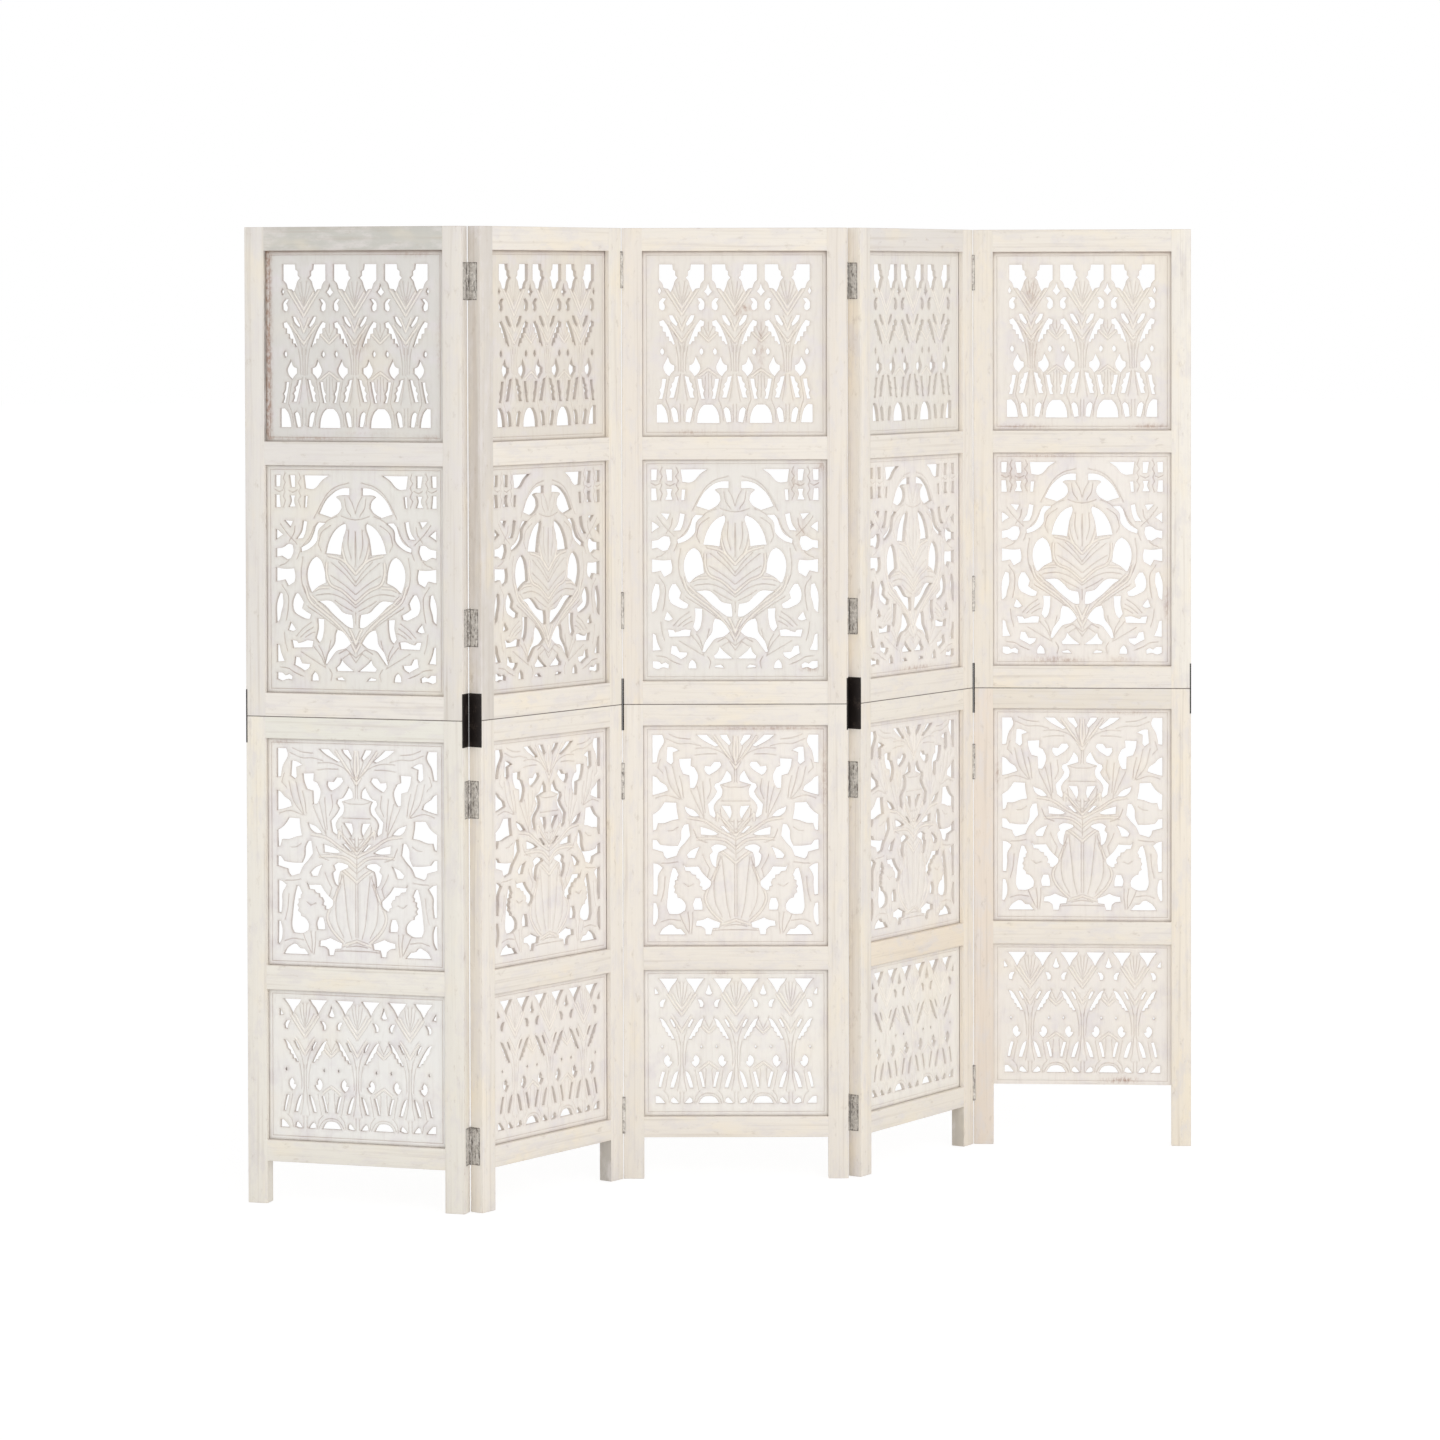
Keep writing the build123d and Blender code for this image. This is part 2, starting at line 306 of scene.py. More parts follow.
# name, place, side of the square and power
lamps = (
    ("lamp_front", (0.9, -4.6, 1.9), 4.0, 64.0),
    ("lamp_left", (-5.0, -2.0, 1.4), 3.0, 10.0),
    ("lamp_right", (5.0, -2.5, 1.4), 3.0, 30.0),
)
for name, place, side, power in lamps:
    data = bpy.data.lights.new(name, "AREA")
    data.shape = "SQUARE"
    data.size = side
    data.energy = power
    lamp = linked(name, data)
    facing = (lamps_aim - Vector(place)).to_track_quat("-Z", "Y")
    lamp.matrix_world = Matrix.Translation(place) @ facing.to_matrix().to_4x4()
print(len(lamps), "lamps")

# %% Floor
floor_half = 60.0
floor_drop = 0.0003
floor_white_share = 0.72
floor_white_strength = 1.12
floor_mesh = bpy.data.meshes.new("floor")
floor_corners = [(-1, -1), (1, -1), (1, 1), (-1, 1)]
floor_points = [(x * floor_half, y * floor_half, -floor_drop) for x, y in floor_corners]
floor_mesh.from_pydata(floor_points, [], [(0, 1, 2, 3)])
floor = linked("floor", floor_mesh)

floor_finish = Finish("pale_floor", base_color=(0.92, 0.92, 0.92, 1), roughness=0.9)
camera_ray, glossy_ray, transmission_ray = (
    floor_finish.node("ShaderNodeLightPath", output=ray)
    for ray in ("Is Camera Ray", "Is Glossy Ray", "Is Transmission Ray")
)
looked_at = camera_ray.most(glossy_ray).most(transmission_ray)
white = floor_finish.node(
    "ShaderNodeEmission", inputs={"Color": white_light, "Strength": floor_white_strength}
)
lit = floor_finish.shader.outputs[0]
floor_look = floor_finish.node(
    "ShaderNodeMixShader", inputs={0: looked_at * floor_white_share, 1: lit, 2: white}
)
floor_output = floor_finish.tree.nodes["Material Output"]
give(floor_finish.tree, floor_output.inputs["Surface"], floor_look)
floor_mesh.materials.append(floor_finish.material)
print("floor", floor_half * 2, "metres across")

# %% [markdown]
# ## Finishes
# The wood is brushed with a cream paint, thin enough that the brush follows the grain and that
# edges, grooves and corners have lost some of it to the brown wood below. Each piece of wood carries
# its own attributes, made with its mesh: `grain` runs along its length, `rim_low` and `rim_high` are
# its distances from its own faces, and `paint` is its tone. So one finish serves every frame piece,
# and the pattern stays with the piece when a panel swings. Each finish is a few noises, drawn out
# along the grain, and a list of washes that lie over one another where those noises run high.

# %% Cream paint on the frame
bare_wood = colour(150, 112, 80)
grime = colour(184, 170, 154)
warm_wash = colour(244, 231, 206)
cool_wash = colour(225, 219, 216)
seam_dirt = colour(74, 64, 55)

frame_paint = Finish("painted_frame_finish")
grain = frame_paint.attribute("grain", "Vector")
tone = frame_paint.attribute("paint", "Vector")
low = frame_paint.attribute("rim_low", "Vector")
high = frame_paint.attribute("rim_high", "Vector")
nearest = frame_paint.node("ShaderNodeVectorMath", {"operation": "MINIMUM"}, {0: low, 1: high})
sides = [frame_paint.axis(nearest, k) for k in range(3)]
smaller = sides[0].least(sides[1])
larger = sides[0].most(sides[1])
from_edge = smaller.most(larger.least(sides[2]))

brushing = frame_paint.noise(grain, (9, 300, 300), 4.0, 0.6)
broad = frame_paint.noise(grain, (7, 17, 17))
patchy = frame_paint.noise(grain, (17, 42, 42), 5.0, 0.66)
smudge = frame_paint.noise(grain, (38, 80, 80), 5.0, 0.68)
ragged = frame_paint.noise(grain, (60, 240, 240), 4.0, 0.7)
streak = frame_paint.noise(grain, (3, 130, 130))

worn = (1 - from_edge.between(0.0002, 0.0016)) * ragged.between(0.54, 0.70)
rubbed = (1 - from_edge.between(0.0, 0.0009)) * 0.30
body_place = frame_paint.node("ShaderNodeTexCoord", output="Object")
above_seam = frame_paint.axis(body_place, 2) - seam_height * MM
seam_line = 1 - above_seam.most(above_seam * -1).between(0.0004, 0.0011)
frame_paint.look(
    base_color=frame_paint.layered(
        tone,
        (broad.between(0.48, 0.74) * 0.45, warm_wash),
        (patchy.between(0.46, 0.66) * 0.62, cool_wash),
        (brushing.between(0.46, 0.80) * 0.12, grime),
        (streak.between(0.52, 0.72) * 0.26, grime),
        (smudge.between(0.56, 0.76) * 0.45, grime),
        ((worn * 0.45).most(rubbed), bare_wood),
        (seam_line * (0.55 + ragged * 0.6), seam_dirt),
    ),
    roughness=0.54 + brushing * 0.16 + worn * 0.12,
    normal=frame_paint.bump(brushing * 0.55 + ragged * 0.20 - worn * 0.5, 0.00035, 0.8),
)
print("frame paint has", len(frame_paint.tree.nodes), "nodes")

# %% Cream paint on the carving
carving_paint = Finish("painted_carving_finish")
place = carving_paint.attribute("grain", "Vector")
tone = carving_paint.attribute("paint", "Vector")
shade_and_dirt = carving_paint.attribute("shade_and_dirt")
ridge = carving_paint.attribute("ridge")
stain_and_shade = carving_paint.attribute("stain_and_shade")

brushing = carving_paint.noise(place, (190, 60, 24), 4.0, 0.6)
patchy = carving_paint.noise(place, 22.0, 4.0, 0.6)
drift = carving_paint.noise(place, 7.0, 2.0)
fleck = carving_paint.noise(place, (190, 120, 90), 4.0, 0.7)

ridge_highlight = colour(246, 238, 226)
shade_and_dirt_brown = colour(172, 153, 141)
stain_and_shade_brown = colour(158, 118, 94)
lilac_wash = colour(225, 219, 221)
# painted shade and dirt in brown: grooves, rib sides, opening edges and window rims, with painted shade
# under the top rail and beside the left stile
darkened = shade_and_dirt * (0.10 + patchy * 1.50)
# stains, with painted shade beside panel 1's left stile and painted shade and dirt under the rails
stained_and_shaded = stain_and_shade * (0.15 + fleck.between(0.40, 0.66) * 0.85)
carving_paint.look(
    base_color=carving_paint.layered(
        tone,
        (drift.between(0.50, 0.74) * 0.25, warm_wash),
        (patchy.between(0.46, 0.72) * 0.60, lilac_wash),
        (brushing.between(0.46, 0.80) * 0.14, shade_and_dirt_brown),
        # painted highlight along the tops of the ribs
        (ridge * 0.80, ridge_highlight),
        (darkened.least(1.0) * 0.80, shade_and_dirt_brown),
        (stained_and_shaded.least(1.0) * 0.75, stain_and_shade_brown),
    ),
    roughness=0.58 + patchy * 0.14,
    normal=carving_paint.bump(brushing * 0.6 + fleck * 0.25, 0.00030, 0.7),
)
print("carving paint has", len(carving_paint.tree.nodes), "nodes")

# %% Blackened plate
plate_black = colour(32, 26, 24)
plate_worn = colour(84, 72, 64)
plate_shine = 0.25
blackened = Finish("blackened_plate_finish")
blackened.shader.inputs["Specular IOR Level"].default_value = plate_shine
where = blackened.node("ShaderNodeTexCoord", output="Object")
cloud = blackened.noise(where, 60.0, 4.0, 0.6)
scuff = blackened.noise(where, 420.0, 3.0, 0.7)
scuffed = (cloud * 0.6 + scuff * 0.5).between(0.57, 0.72)
blackened.look(
    base_color=blackened.layered(plate_black, (scuffed * 0.55, plate_worn)),
    roughness=0.36 + cloud * 0.22,
    normal=blackened.bump(scuff, 0.00008, 0.6),
)
print("plate finish has", len(blackened.tree.nodes), "nodes")

# %% [markdown]
# ## Zinc and steel
# Zinc forms small flat crystals, each a little lighter or darker than the next. Dull tarnish lies
# over them. Along a leaf's rim and beside its barrel it is darker still, as painted shade of the gap
# round the leaf and of the crease at the barrel, and as the dirt and paint that collect there. Each
# leaf's mesh remembers where its points were drawn, as `leaf_place` in millimetres, so the finish
# can tell how far a point is from the rim. Pins are drawn steel, so their fine lines run upwards.

# %% Zinc on the hinge leaves
zinc_light = colour(226, 221, 214)
zinc_dark = colour(188, 182, 174)
zinc_dull = colour(88, 80, 73)
leaf_end_mm = 20.5
leaf_half_mm = 31.5
barrel_side_mm = -3.4
zinc = Finish("zinc_leaf_finish", metallic=0.10)
where = zinc.node("ShaderNodeTexCoord", output="Object")
spangle = zinc.node("ShaderNodeTexVoronoi", {"feature": "F1"}, {"Vector": where, "Scale": 260.0}, "Color")
spangle_level = zinc.node("ShaderNodeSeparateColor", inputs={0: spangle})
tarnish = zinc.noise(where, (330, 330, 110), 5.0, 0.7)
leaf_place = zinc.attribute("leaf_place", "Vector")
along, up_leaf = (zinc.axis(leaf_place, k) for k in (1, 2))
from_rim = (along + leaf_end_mm).least(leaf_half_mm - up_leaf.most(up_leaf * -1))
beside_barrel = 1 - (along - barrel_side_mm).most(barrel_side_mm - along).between(0.3, 1.6)
# painted shade and dirt along the leaf's rim and beside its barrel
rim_shade_and_dirt = (1 - from_rim.between(0.6, 2.8)).most(beside_barrel)
zinc.look(
    base_color=zinc.layered(
        zinc_light,
        (spangle_level, zinc_dark),
        (tarnish.between(0.50, 0.64) * 0.80, zinc_dull),
        (rim_shade_and_dirt * (0.10 + tarnish.between(0.30, 0.60) * 0.75), zinc_dull),
    ),
    roughness=0.34 + spangle_level * 0.22 + tarnish * 0.1,
    normal=zinc.bump(tarnish, 0.00006, 0.5),
)
print("zinc has", len(zinc.tree.nodes), "nodes")

# %% Steel of pins and screws
steel_bright = colour(205, 203, 200)
steel_dull = colour(120, 114, 106)
steel = Finish("steel_pin_finish", metallic=0.9)
where = steel.node("ShaderNodeTexCoord", output="Object")
draw_lines = steel.noise(where, (900, 900, 60))
smear = steel.noise(where, 300.0)
steel.look(
    base_color=steel.layered(steel_bright, (smear.between(0.5, 0.75) * 0.8, steel_dull)),
    roughness=0.24 + draw_lines * 0.2,
    normal=steel.bump(draw_lines, 0.00004, 0.5),
)
print("steel has", len(steel.tree.nodes), "nodes")

# %% [markdown]
# ## Drawing the carving
# A fret carver pastes a half drawing on the board, saws the openings, then cuts veins and rounds the
# edges. The drawings below are that half: each opening is a short list of points from the left side,
# curved between them and sharp where the line turns hard, and the other side mirrors it. The crown
# and the base repeat one fan three times, so their points are measured from a fan's middle.

# %% Crown drawing
board_middle = 195.0
crown_pitch = 91.5
crown_fan_openings = (
    # bud, comma and two feathered slits
    ((-39, 1587), (-16, 1587), (-15, 1578), (-11, 1575), (-11, 1568), (-7, 1564), (-12, 1558),
     (-14, 1551), (-19, 1539), (-24, 1545), (-31, 1546), (-34, 1555), (-39, 1560)),
    ((-27, 1528), (-33, 1529), (-39, 1522), (-39, 1511), (-34, 1507), (-30, 1509), (-29, 1515),
     (-32, 1521)),
    ((-22, 1499), (-16, 1499), (-7, 1484), (-9, 1480), (-14, 1484), (-19, 1490)),
    ((-39, 1488), (-32, 1491), (-25, 1481), (-18, 1466), (-12, 1449), (-15, 1448), (-18, 1454),
     (-22, 1454), (-22, 1462), (-27, 1462), (-28, 1470), (-33, 1471), (-33, 1479), (-38, 1481)),
    # dot and notched drop
    ((-34, 1442), (-31, 1438), (-31, 1433), (-34, 1430), (-37, 1434), (-37, 1438)),
    ((-24, 1427), (-19, 1415), (-13, 1412), (-13, 1404), (-18, 1399), (-22, 1393), (-29, 1400),
     (-32, 1409), (-28, 1419)),
    # two long slits of the stem and one of the foot
    ((-34, 1389), (-27, 1389), (-30, 1372), (-34, 1354), (-40, 1354), (-37, 1364), (-39, 1369),
     (-36, 1374)),
    ((-12, 1392), (-5, 1394), (-8, 1380), (-14, 1356), (-22, 1356), (-19, 1365), (-21, 1370),
     (-17, 1375), (-18, 1380), (-14, 1384)),
    ((-19, 1336), (-15, 1340), (-10, 1336), (-6, 1314), (-14, 1313), (-17, 1325)),
)
crown_between_openings = (
    ((0, 1554), (3, 1545), (7, 1540), (3, 1536), (0, 1532), (-3, 1536), (-7, 1540), (-3, 1545)),
    ((-19.5, 1312), (-18, 1326), (-13, 1338), (-7, 1344), (7, 1344), (13, 1338), (18, 1326),
     (19.5, 1312)),
)
crown_end_openings = (
    ((-133, 1541), (-130, 1547), (-127, 1541), (-130, 1535)),
    ((-135, 1313), (-135, 1344), (-127, 1345), (-121, 1338), (-117, 1326), (-115, 1313)),
)
crown_fan_ribs = (
    ((-28, 1544), (-13, 1521), (0, 1500)),
    ((-19, 1542), (-9, 1526), (0, 1511)),
    ((-22, 1484), (-12, 1470), (0, 1453)),
    ((-9, 1495), (-4, 1483), (0, 1473)),
)
crown_fan_grooves = (
    ((0, 1519), (-6, 1534), (-11, 1551)),
    ((0, 1524), (-3, 1540), (-5, 1556)),
    ((-13, 1469), (-6, 1452), (-4, 1436)),
    ((-10, 1444), (-7, 1426), (-6, 1404)),
    ((-2, 1446), (-2, 1425), (-2, 1402)),
    ((-3, 1396), (-5, 1376), (-9, 1353)),
    ((-22, 1392), (-25, 1374), (-28, 1354)),
    ((-3, 1344), (-3, 1316)),
    ((-27, 1350), (-22, 1336), (-20, 1318)),
)
crown_between_ribs = (
    ((-17, 1471), (-8, 1462), (0, 1454), (8, 1462), (17, 1471)),
    ((-15, 1394), (-7, 1400), (0, 1405), (7, 1400), (15, 1394)),
)
crown_between_grooves = (
    ((-9, 1482), (-4, 1470), (0, 1462)),
    ((9, 1482), (4, 1470), (0, 1462)),
    ((0, 1486), (0, 1474)),
    ((-5, 1393), (-6, 1376), (-8, 1357)),
    ((5, 1393), (6, 1376), (8, 1357)),
    ((0, 1396), (0, 1358)),
)
print(len(crown_fan_openings), "openings in half a crown fan")

# %% Base drawing
base_pitch = 94.5
base_fan_openings = (
    ((-40, 347), (-7, 347), (-11, 340), (-17, 333), (-23, 321), (-28, 331), (-34, 340)),
    ((-27, 311), (-34, 310), (-38, 304), (-37, 297), (-32, 296), (-31, 303), (-29, 307)),
    ((-21, 276), (-17, 276), (-12, 267), (-11, 261), (-14, 262), (-18, 270)),
    ((-39, 278), (-33, 276), (-26, 267), (-18, 253), (-12, 241), (-17, 241), (-19, 246), (-23, 246),
     (-24, 252), (-28, 254), (-29, 260), (-33, 263), (-35, 270)),
    ((-36, 228), (-34, 231), (-32, 228), (-34, 225)),
    ((-24, 214), (-20, 208), (-21, 203), (-16, 202), (-19, 196), (-24, 192), (-29, 197),
     (-31, 204), (-29, 210)),
    ((-34, 185), (-29, 184), (-33, 170), (-36, 157), (-40, 157), (-38, 170)),
    ((-10, 184), (-6, 186), (-8, 176), (-14, 156), (-20, 156), (-17, 169)),
    ((-18, 137), (-14, 140), (-9, 135), (-5, 129), (-14, 129), (-19, 131)),
)
base_between_openings = (
    ((0, 338), (3, 328), (6, 321), (3, 318), (-3, 318), (-6, 321), (-3, 328)),
    ((-17.5, 129), (-13, 137), (-8, 141), (8, 141), (13, 137), (17.5, 129)),
)
base_end_openings = (
    ((-141, 331), (-138, 327), (-134, 320), (-141, 319)),
    ((-140, 142), (-134, 142), (-128, 136), (-123, 129), (-140, 129)),
)
base_fan_ribs = (
    ((-24, 319), (-12, 301), (0, 284)),
    ((-17, 320), (-9, 306), (0, 293)),
    ((-16, 280), (-8, 268), (0, 254)),
)
base_fan_grooves = (
    ((0, 300), (-6, 316), (-9, 334)),
    ((0, 304), (-2, 320), (-3, 338)),
    ((-9, 258), (-5, 246), (-3, 232)),
    ((-10, 238), (-7, 220), (-6, 198)),
    ((-2, 236), (-2, 216), (-2, 198)),
    ((-3, 190), (-4, 172), (-8, 152)),
    ((-23, 186), (-26, 170), (-29, 154)),
    ((-30, 150), (-24, 142), (-22, 131)),
    ((-3, 146), (-3, 130)),
)
base_between_ribs = (
    ((-16, 269), (-8, 260), (0, 252), (8, 260), (16, 269)),
    ((-15, 190), (-7, 196), (0, 201), (7, 196), (15, 190)),
)
base_between_grooves = (
    ((-9, 280), (-4, 268), (0, 260)),
    ((9, 280), (4, 268), (0, 260)),
    ((-5, 188), (-6, 172), (-7, 158)),
    ((5, 188), (6, 172), (7, 158)),
    ((-22, 131), (-17, 140), (-9, 146), (9, 146), (17, 140), (22, 131)),
)
print(len(base_fan_openings), "openings in half a base fan")

# %% Medallion drawing
medallion_openings = (
    # lattice of the upper corner
    ((50, 1232), (60, 1232), (59, 1213), (50, 1213)),
    ((75, 1232), (86, 1232), (86, 1212), (78, 1212)),
    ((101, 1232), (147, 1232), (135, 1224), (124, 1212), (118, 1209), (104, 1210)),
    ((50, 1199), (58, 1199), (60, 1178), (50, 1178)),
    ((76, 1198), (86, 1198), (84, 1189), (87, 1179), (74, 1179), (78, 1189)),
    ((103, 1197), (109, 1197), (107, 1178), (102, 1178)),
    # head of the arch
    ((128, 1168), (140, 1190), (150, 1200), (160, 1207), (173, 1211), (184, 1211), (184, 1199),
     (163, 1198), (160, 1196), (168, 1188), (170, 1178), (165, 1170), (150, 1161)),
    # sprigs beside the arch
    ((66, 1156), (82, 1155), (77, 1144)),
    ((51, 1141), (54, 1140), (64, 1132), (56, 1127), (51, 1123)),
    ((100, 1156), (108, 1154), (104, 1135), (100, 1126), (88, 1125), (96, 1137)),
    ((127, 1153), (140, 1152), (128, 1140), (125, 1122), (110, 1108), (96, 1103), (95, 1110),
     (110, 1120), (118, 1135), (122, 1147)),
    ((51, 1108), (62, 1110), (72, 1116), (81, 1115), (83, 1105), (78, 1092), (70, 1090),
     (60, 1096), (51, 1094)),
    ((51, 1076), (70, 1074), (84, 1075), (86, 1060), (84, 1052), (72, 1045), (66, 1056),
     (57, 1054), (51, 1053)),
    # between the bud and its leaves
    ((124, 1096), (132, 1090), (138, 1075), (141, 1052), (127, 1045), (116, 1035), (113, 1036),
     (108, 1050), (106, 1065), (109, 1080), (116, 1091)),
    ((176, 1152), (178, 1148), (172, 1125), (168, 1098), (155, 1100), (140, 1101), (145, 1120),
     (155, 1138), (165, 1147)),
    ((127, 1020), (150, 1021), (162, 1012), (172, 1002), (188, 998), (190, 985), (190, 976),
     (183, 976), (165, 988), (150, 1001), (138, 1013)),
    # vines down the side
    ((57, 1034), (63, 1032), (64, 1015), (60, 1000), (57, 988), (51, 983), (51, 1016)),
    ((86, 1033), (92, 1033), (98, 1024), (101, 1018), (98, 1008), (105, 1003), (114, 998),
     (112, 991), (105, 990), (92, 995), (84, 1000), (80, 1010), (81, 1022)),
    ((77, 985), (83, 978), (87, 972), (80, 969), (72, 971)),
    ((125, 991), (138, 990), (137, 970), (133, 955), (128, 950), (122, 958), (126, 975)),
    ((78, 954), (88, 953), (91, 949), (98, 951), (106, 954), (118, 953), (116, 942), (81, 941)),
    ((160, 973), (170, 970), (180, 960), (186, 950), (176, 942), (160, 937), (150, 925),
     (142, 914), (138, 915), (143, 932), (155, 950), (157, 965)),
    # foot of the arch
    ((52, 947), (57, 945), (60, 932), (66, 918), (52, 917)),
    ((85, 926), (93, 925), (98, 915), (112, 914), (110, 908), (101, 902), (93, 907), (83, 912)),
    ((168, 924), (175, 916), (191, 903), (160, 903), (158, 908), (165, 915)),
    ((120, 902), (126, 896), (128, 886), (114, 886), (115, 895)),
    ((52, 899), (63, 898), (67, 894), (74, 897), (80, 893), (79, 886), (70, 888), (60, 885),
     (52, 888)),
    ((170, 893), (176, 887), (160, 888), (159, 891)),
)
medallion_ribs = (
    ((172, 1150), (169, 1128), (173, 1100), (180, 1084), (195, 1067)),
    ((146, 1098), (170, 1091), (184, 1080), (195, 1067)),
    ((143, 1085), (143, 1066), (150, 1049), (170, 1039), (195, 1018)),
    ((118, 1038), (130, 1043), (146, 1044)),
    ((104, 1045), (113, 1021), (131, 1006), (150, 992), (165, 979), (180, 962), (195, 936)),
    ((116, 1028), (133, 1012), (152, 998)),
    ((184, 974), (190, 962), (195, 949)),
)
medallion_grooves = (
    # bud and its side petals
    ((195, 1136), (194, 1112), (195, 1084)),
    ((183, 1138), (182, 1114), (187, 1094)),
    ((194, 1033), (174, 1049), (152, 1063)),
    ((194, 1047), (176, 1066), (153, 1085)),
    ((194, 1054), (181, 1071), (165, 1087)),
    ((195, 1010), (172, 1026), (150, 1033), (126, 1031)),
    ((188, 1005), (170, 1014), (158, 1022)),
    # calyx of the arch's head
    ((176, 1192), (179, 1176), (186, 1166)),
    ((184, 1195), (190, 1184), (195, 1168)),
    ((170, 1164), (182, 1160), (195, 1158)),
    # band of the arch, beside its openings
    ((122, 1163), (133, 1184), (146, 1203), (162, 1214), (180, 1219)),
    ((136, 1150), (148, 1158), (160, 1163)),
    ((90, 1092), (99, 1112), (112, 1128), (120, 1146)),
    ((100, 1092), (97, 1070), (99, 1048), (104, 1034)),
    ((133, 1106), (128, 1116), (134, 1136), (150, 1148)),
    # blades, stem and foot
    ((110, 1010), (125, 1001), (149, 985), (165, 973)),
    ((195, 1002), (195, 985)),
    ((165, 933), (178, 940), (195, 926)),
    ((172, 925), (184, 933), (195, 918)),
    ((140, 911), (132, 928), (119, 944)),
    ((140, 916), (134, 936), (128, 946)),
    ((144, 920), (146, 938), (149, 951)),
    ((138, 910), (118, 922), (98, 934)),
    ((89, 962), (100, 974), (114, 984)),
    ((96, 960), (108, 970), (118, 976)),
    ((105, 960), (113, 965), (119, 968)),
    # stem of the vine and the lattice
    ((64, 1044), (73, 1030), (73, 1006), (70, 988)),
    ((66, 966), (68, 950), (72, 936)),
    ((74, 1088), (68, 1083), (60, 1080)),
    ((68, 1234), (65, 1227), (69, 1220), (65, 1212), (68, 1205), (65, 1197), (69, 1190), (66, 1180)),
    ((94, 1234), (97, 1227), (92, 1220), (97, 1212), (93, 1205), (97, 1197), (92, 1190), (96, 1180)),
    ((50, 1208), (58, 1204), (64, 1207)),
    ((76, 1206), (82, 1203), (90, 1207)),
    ((60, 1150), (72, 1134), (88, 1118)),
    ((86, 1146), (84, 1134), (76, 1122)),
    ((148, 906), (152, 898), (150, 888)),
    ((62, 908), (74, 906), (84, 900), (98, 894)),
)
print(len(medallion_openings), "openings in half a medallion")

# %% Vase drawing
vase_openings = (
    # leaves along the top
    ((51, 771), (68, 771), (71, 760), (62, 742), (58, 723), (51, 722)),
    ((77, 750), (84, 750), (97, 744), (86, 740), (87, 724), (83, 719), (75, 725)),
    ((97, 729), (118, 730), (117, 717), (124, 714), (130, 700), (127, 685), (123, 678),
     (116, 678), (115, 700), (104, 703), (99, 715)),
    ((127, 771), (145, 771), (152, 764), (166, 752), (160, 750), (138, 762)),
    ((168, 771), (180, 771), (187, 757), (184, 752), (178, 758), (170, 766)),
    ((141, 710), (142, 717), (152, 716), (158, 724), (168, 724), (171, 718), (164, 710),
     (150, 701), (146, 702)),
    # scrolls beside the stem
    ((180, 709), (187, 700), (188, 690), (178, 687), (168, 684), (172, 675), (170, 663),
     (162, 655), (157, 645), (160, 630), (158, 626), (150, 632), (147, 650), (158, 663),
     (163, 672), (158, 680), (160, 686), (168, 689), (174, 697)),
    ((51, 700), (58, 697), (64, 690), (75, 682), (78, 674), (70, 671), (60, 668), (51, 666)),
    ((72, 654), (92, 653), (93, 640), (96, 624), (85, 622), (70, 617), (60, 617), (57, 606),
     (52, 604), (51, 632), (62, 640)),
    ((106, 647), (112, 644), (122, 640), (130, 632), (132, 629), (120, 629), (110, 636)),
    ((170, 648), (186, 647), (188, 634), (185, 624), (178, 636)),
    ((134, 611), (145, 608), (158, 603), (165, 598), (158, 596), (135, 597)),
    ((168, 612), (175, 612), (183, 603), (186, 600), (181, 600)),
    # round the two flowers
    ((106, 615), (113, 616), (116, 595), (107, 583), (98, 573), (92, 560), (75, 555), (71, 560),
     (69, 567), (58, 570), (51, 572), (51, 589), (58, 588), (64, 580), (80, 578), (95, 578),
     (100, 590), (101, 605)),
    ((131, 576), (133, 577), (128, 567), (124, 556), (113, 556), (110, 562), (118, 570)),
    ((168, 580), (178, 577), (180, 573), (165, 566), (162, 555), (161, 540), (156, 543),
     (151, 555), (150, 562), (155, 567), (152, 575), (160, 580)),
    ((52, 548), (60, 546), (68, 540), (60, 525), (60, 510), (58, 492), (52, 493)),
    ((104, 546), (108, 541), (130, 542), (138, 530), (152, 516), (151, 508), (142, 500),
     (137, 501), (137, 506), (132, 508), (134, 514), (131, 520), (127, 521), (126, 527), (120, 528),
     (116, 533), (108, 534)),
    ((86, 540), (91, 538), (96, 527), (93, 523), (94, 519), (89, 517), (90, 511), (87, 507),
     (90, 502), (88, 497), (93, 493), (94, 488), (100, 486), (108, 475), (107, 465), (96, 459),
     (80, 459), (76, 468), (77, 490), (80, 515), (83, 530)),
    # beside the urn's foot
    ((125, 487), (134, 487), (137, 475), (137, 466), (123, 466), (121, 475)),
    ((52, 479), (57, 478), (60, 465), (59, 450), (54, 439), (51, 441)),
    ((80, 441), (86, 440), (92, 434), (100, 433), (108, 423), (62, 423), (68, 433)),
    ((127, 447), (140, 450), (146, 453), (155, 449), (168, 444), (166, 435), (155, 434),
     (152, 423), (143, 423), (142, 432), (136, 437), (126, 438)),
)
vase_ribs = (
    # the urn's lip, side and foot
    ((170, 568), (181, 560), (195, 548)),
    ((164, 542), (156, 522), (146, 502), (142, 487), (149, 469), (160, 456), (171, 446)),
    ((158, 438), (176, 443), (195, 449)),
    # palm above the stem and the fan over the urn
    ((195, 712), (184, 731), (172, 748), (158, 768)),
    ((195, 716), (192, 740), (193, 768)),
    ((195, 590), (165, 606), (140, 622), (114, 627)),
    ((195, 596), (177, 618), (163, 634), (163, 622)),
    ((195, 574), (176, 588), (156, 591), (128, 590)),
)
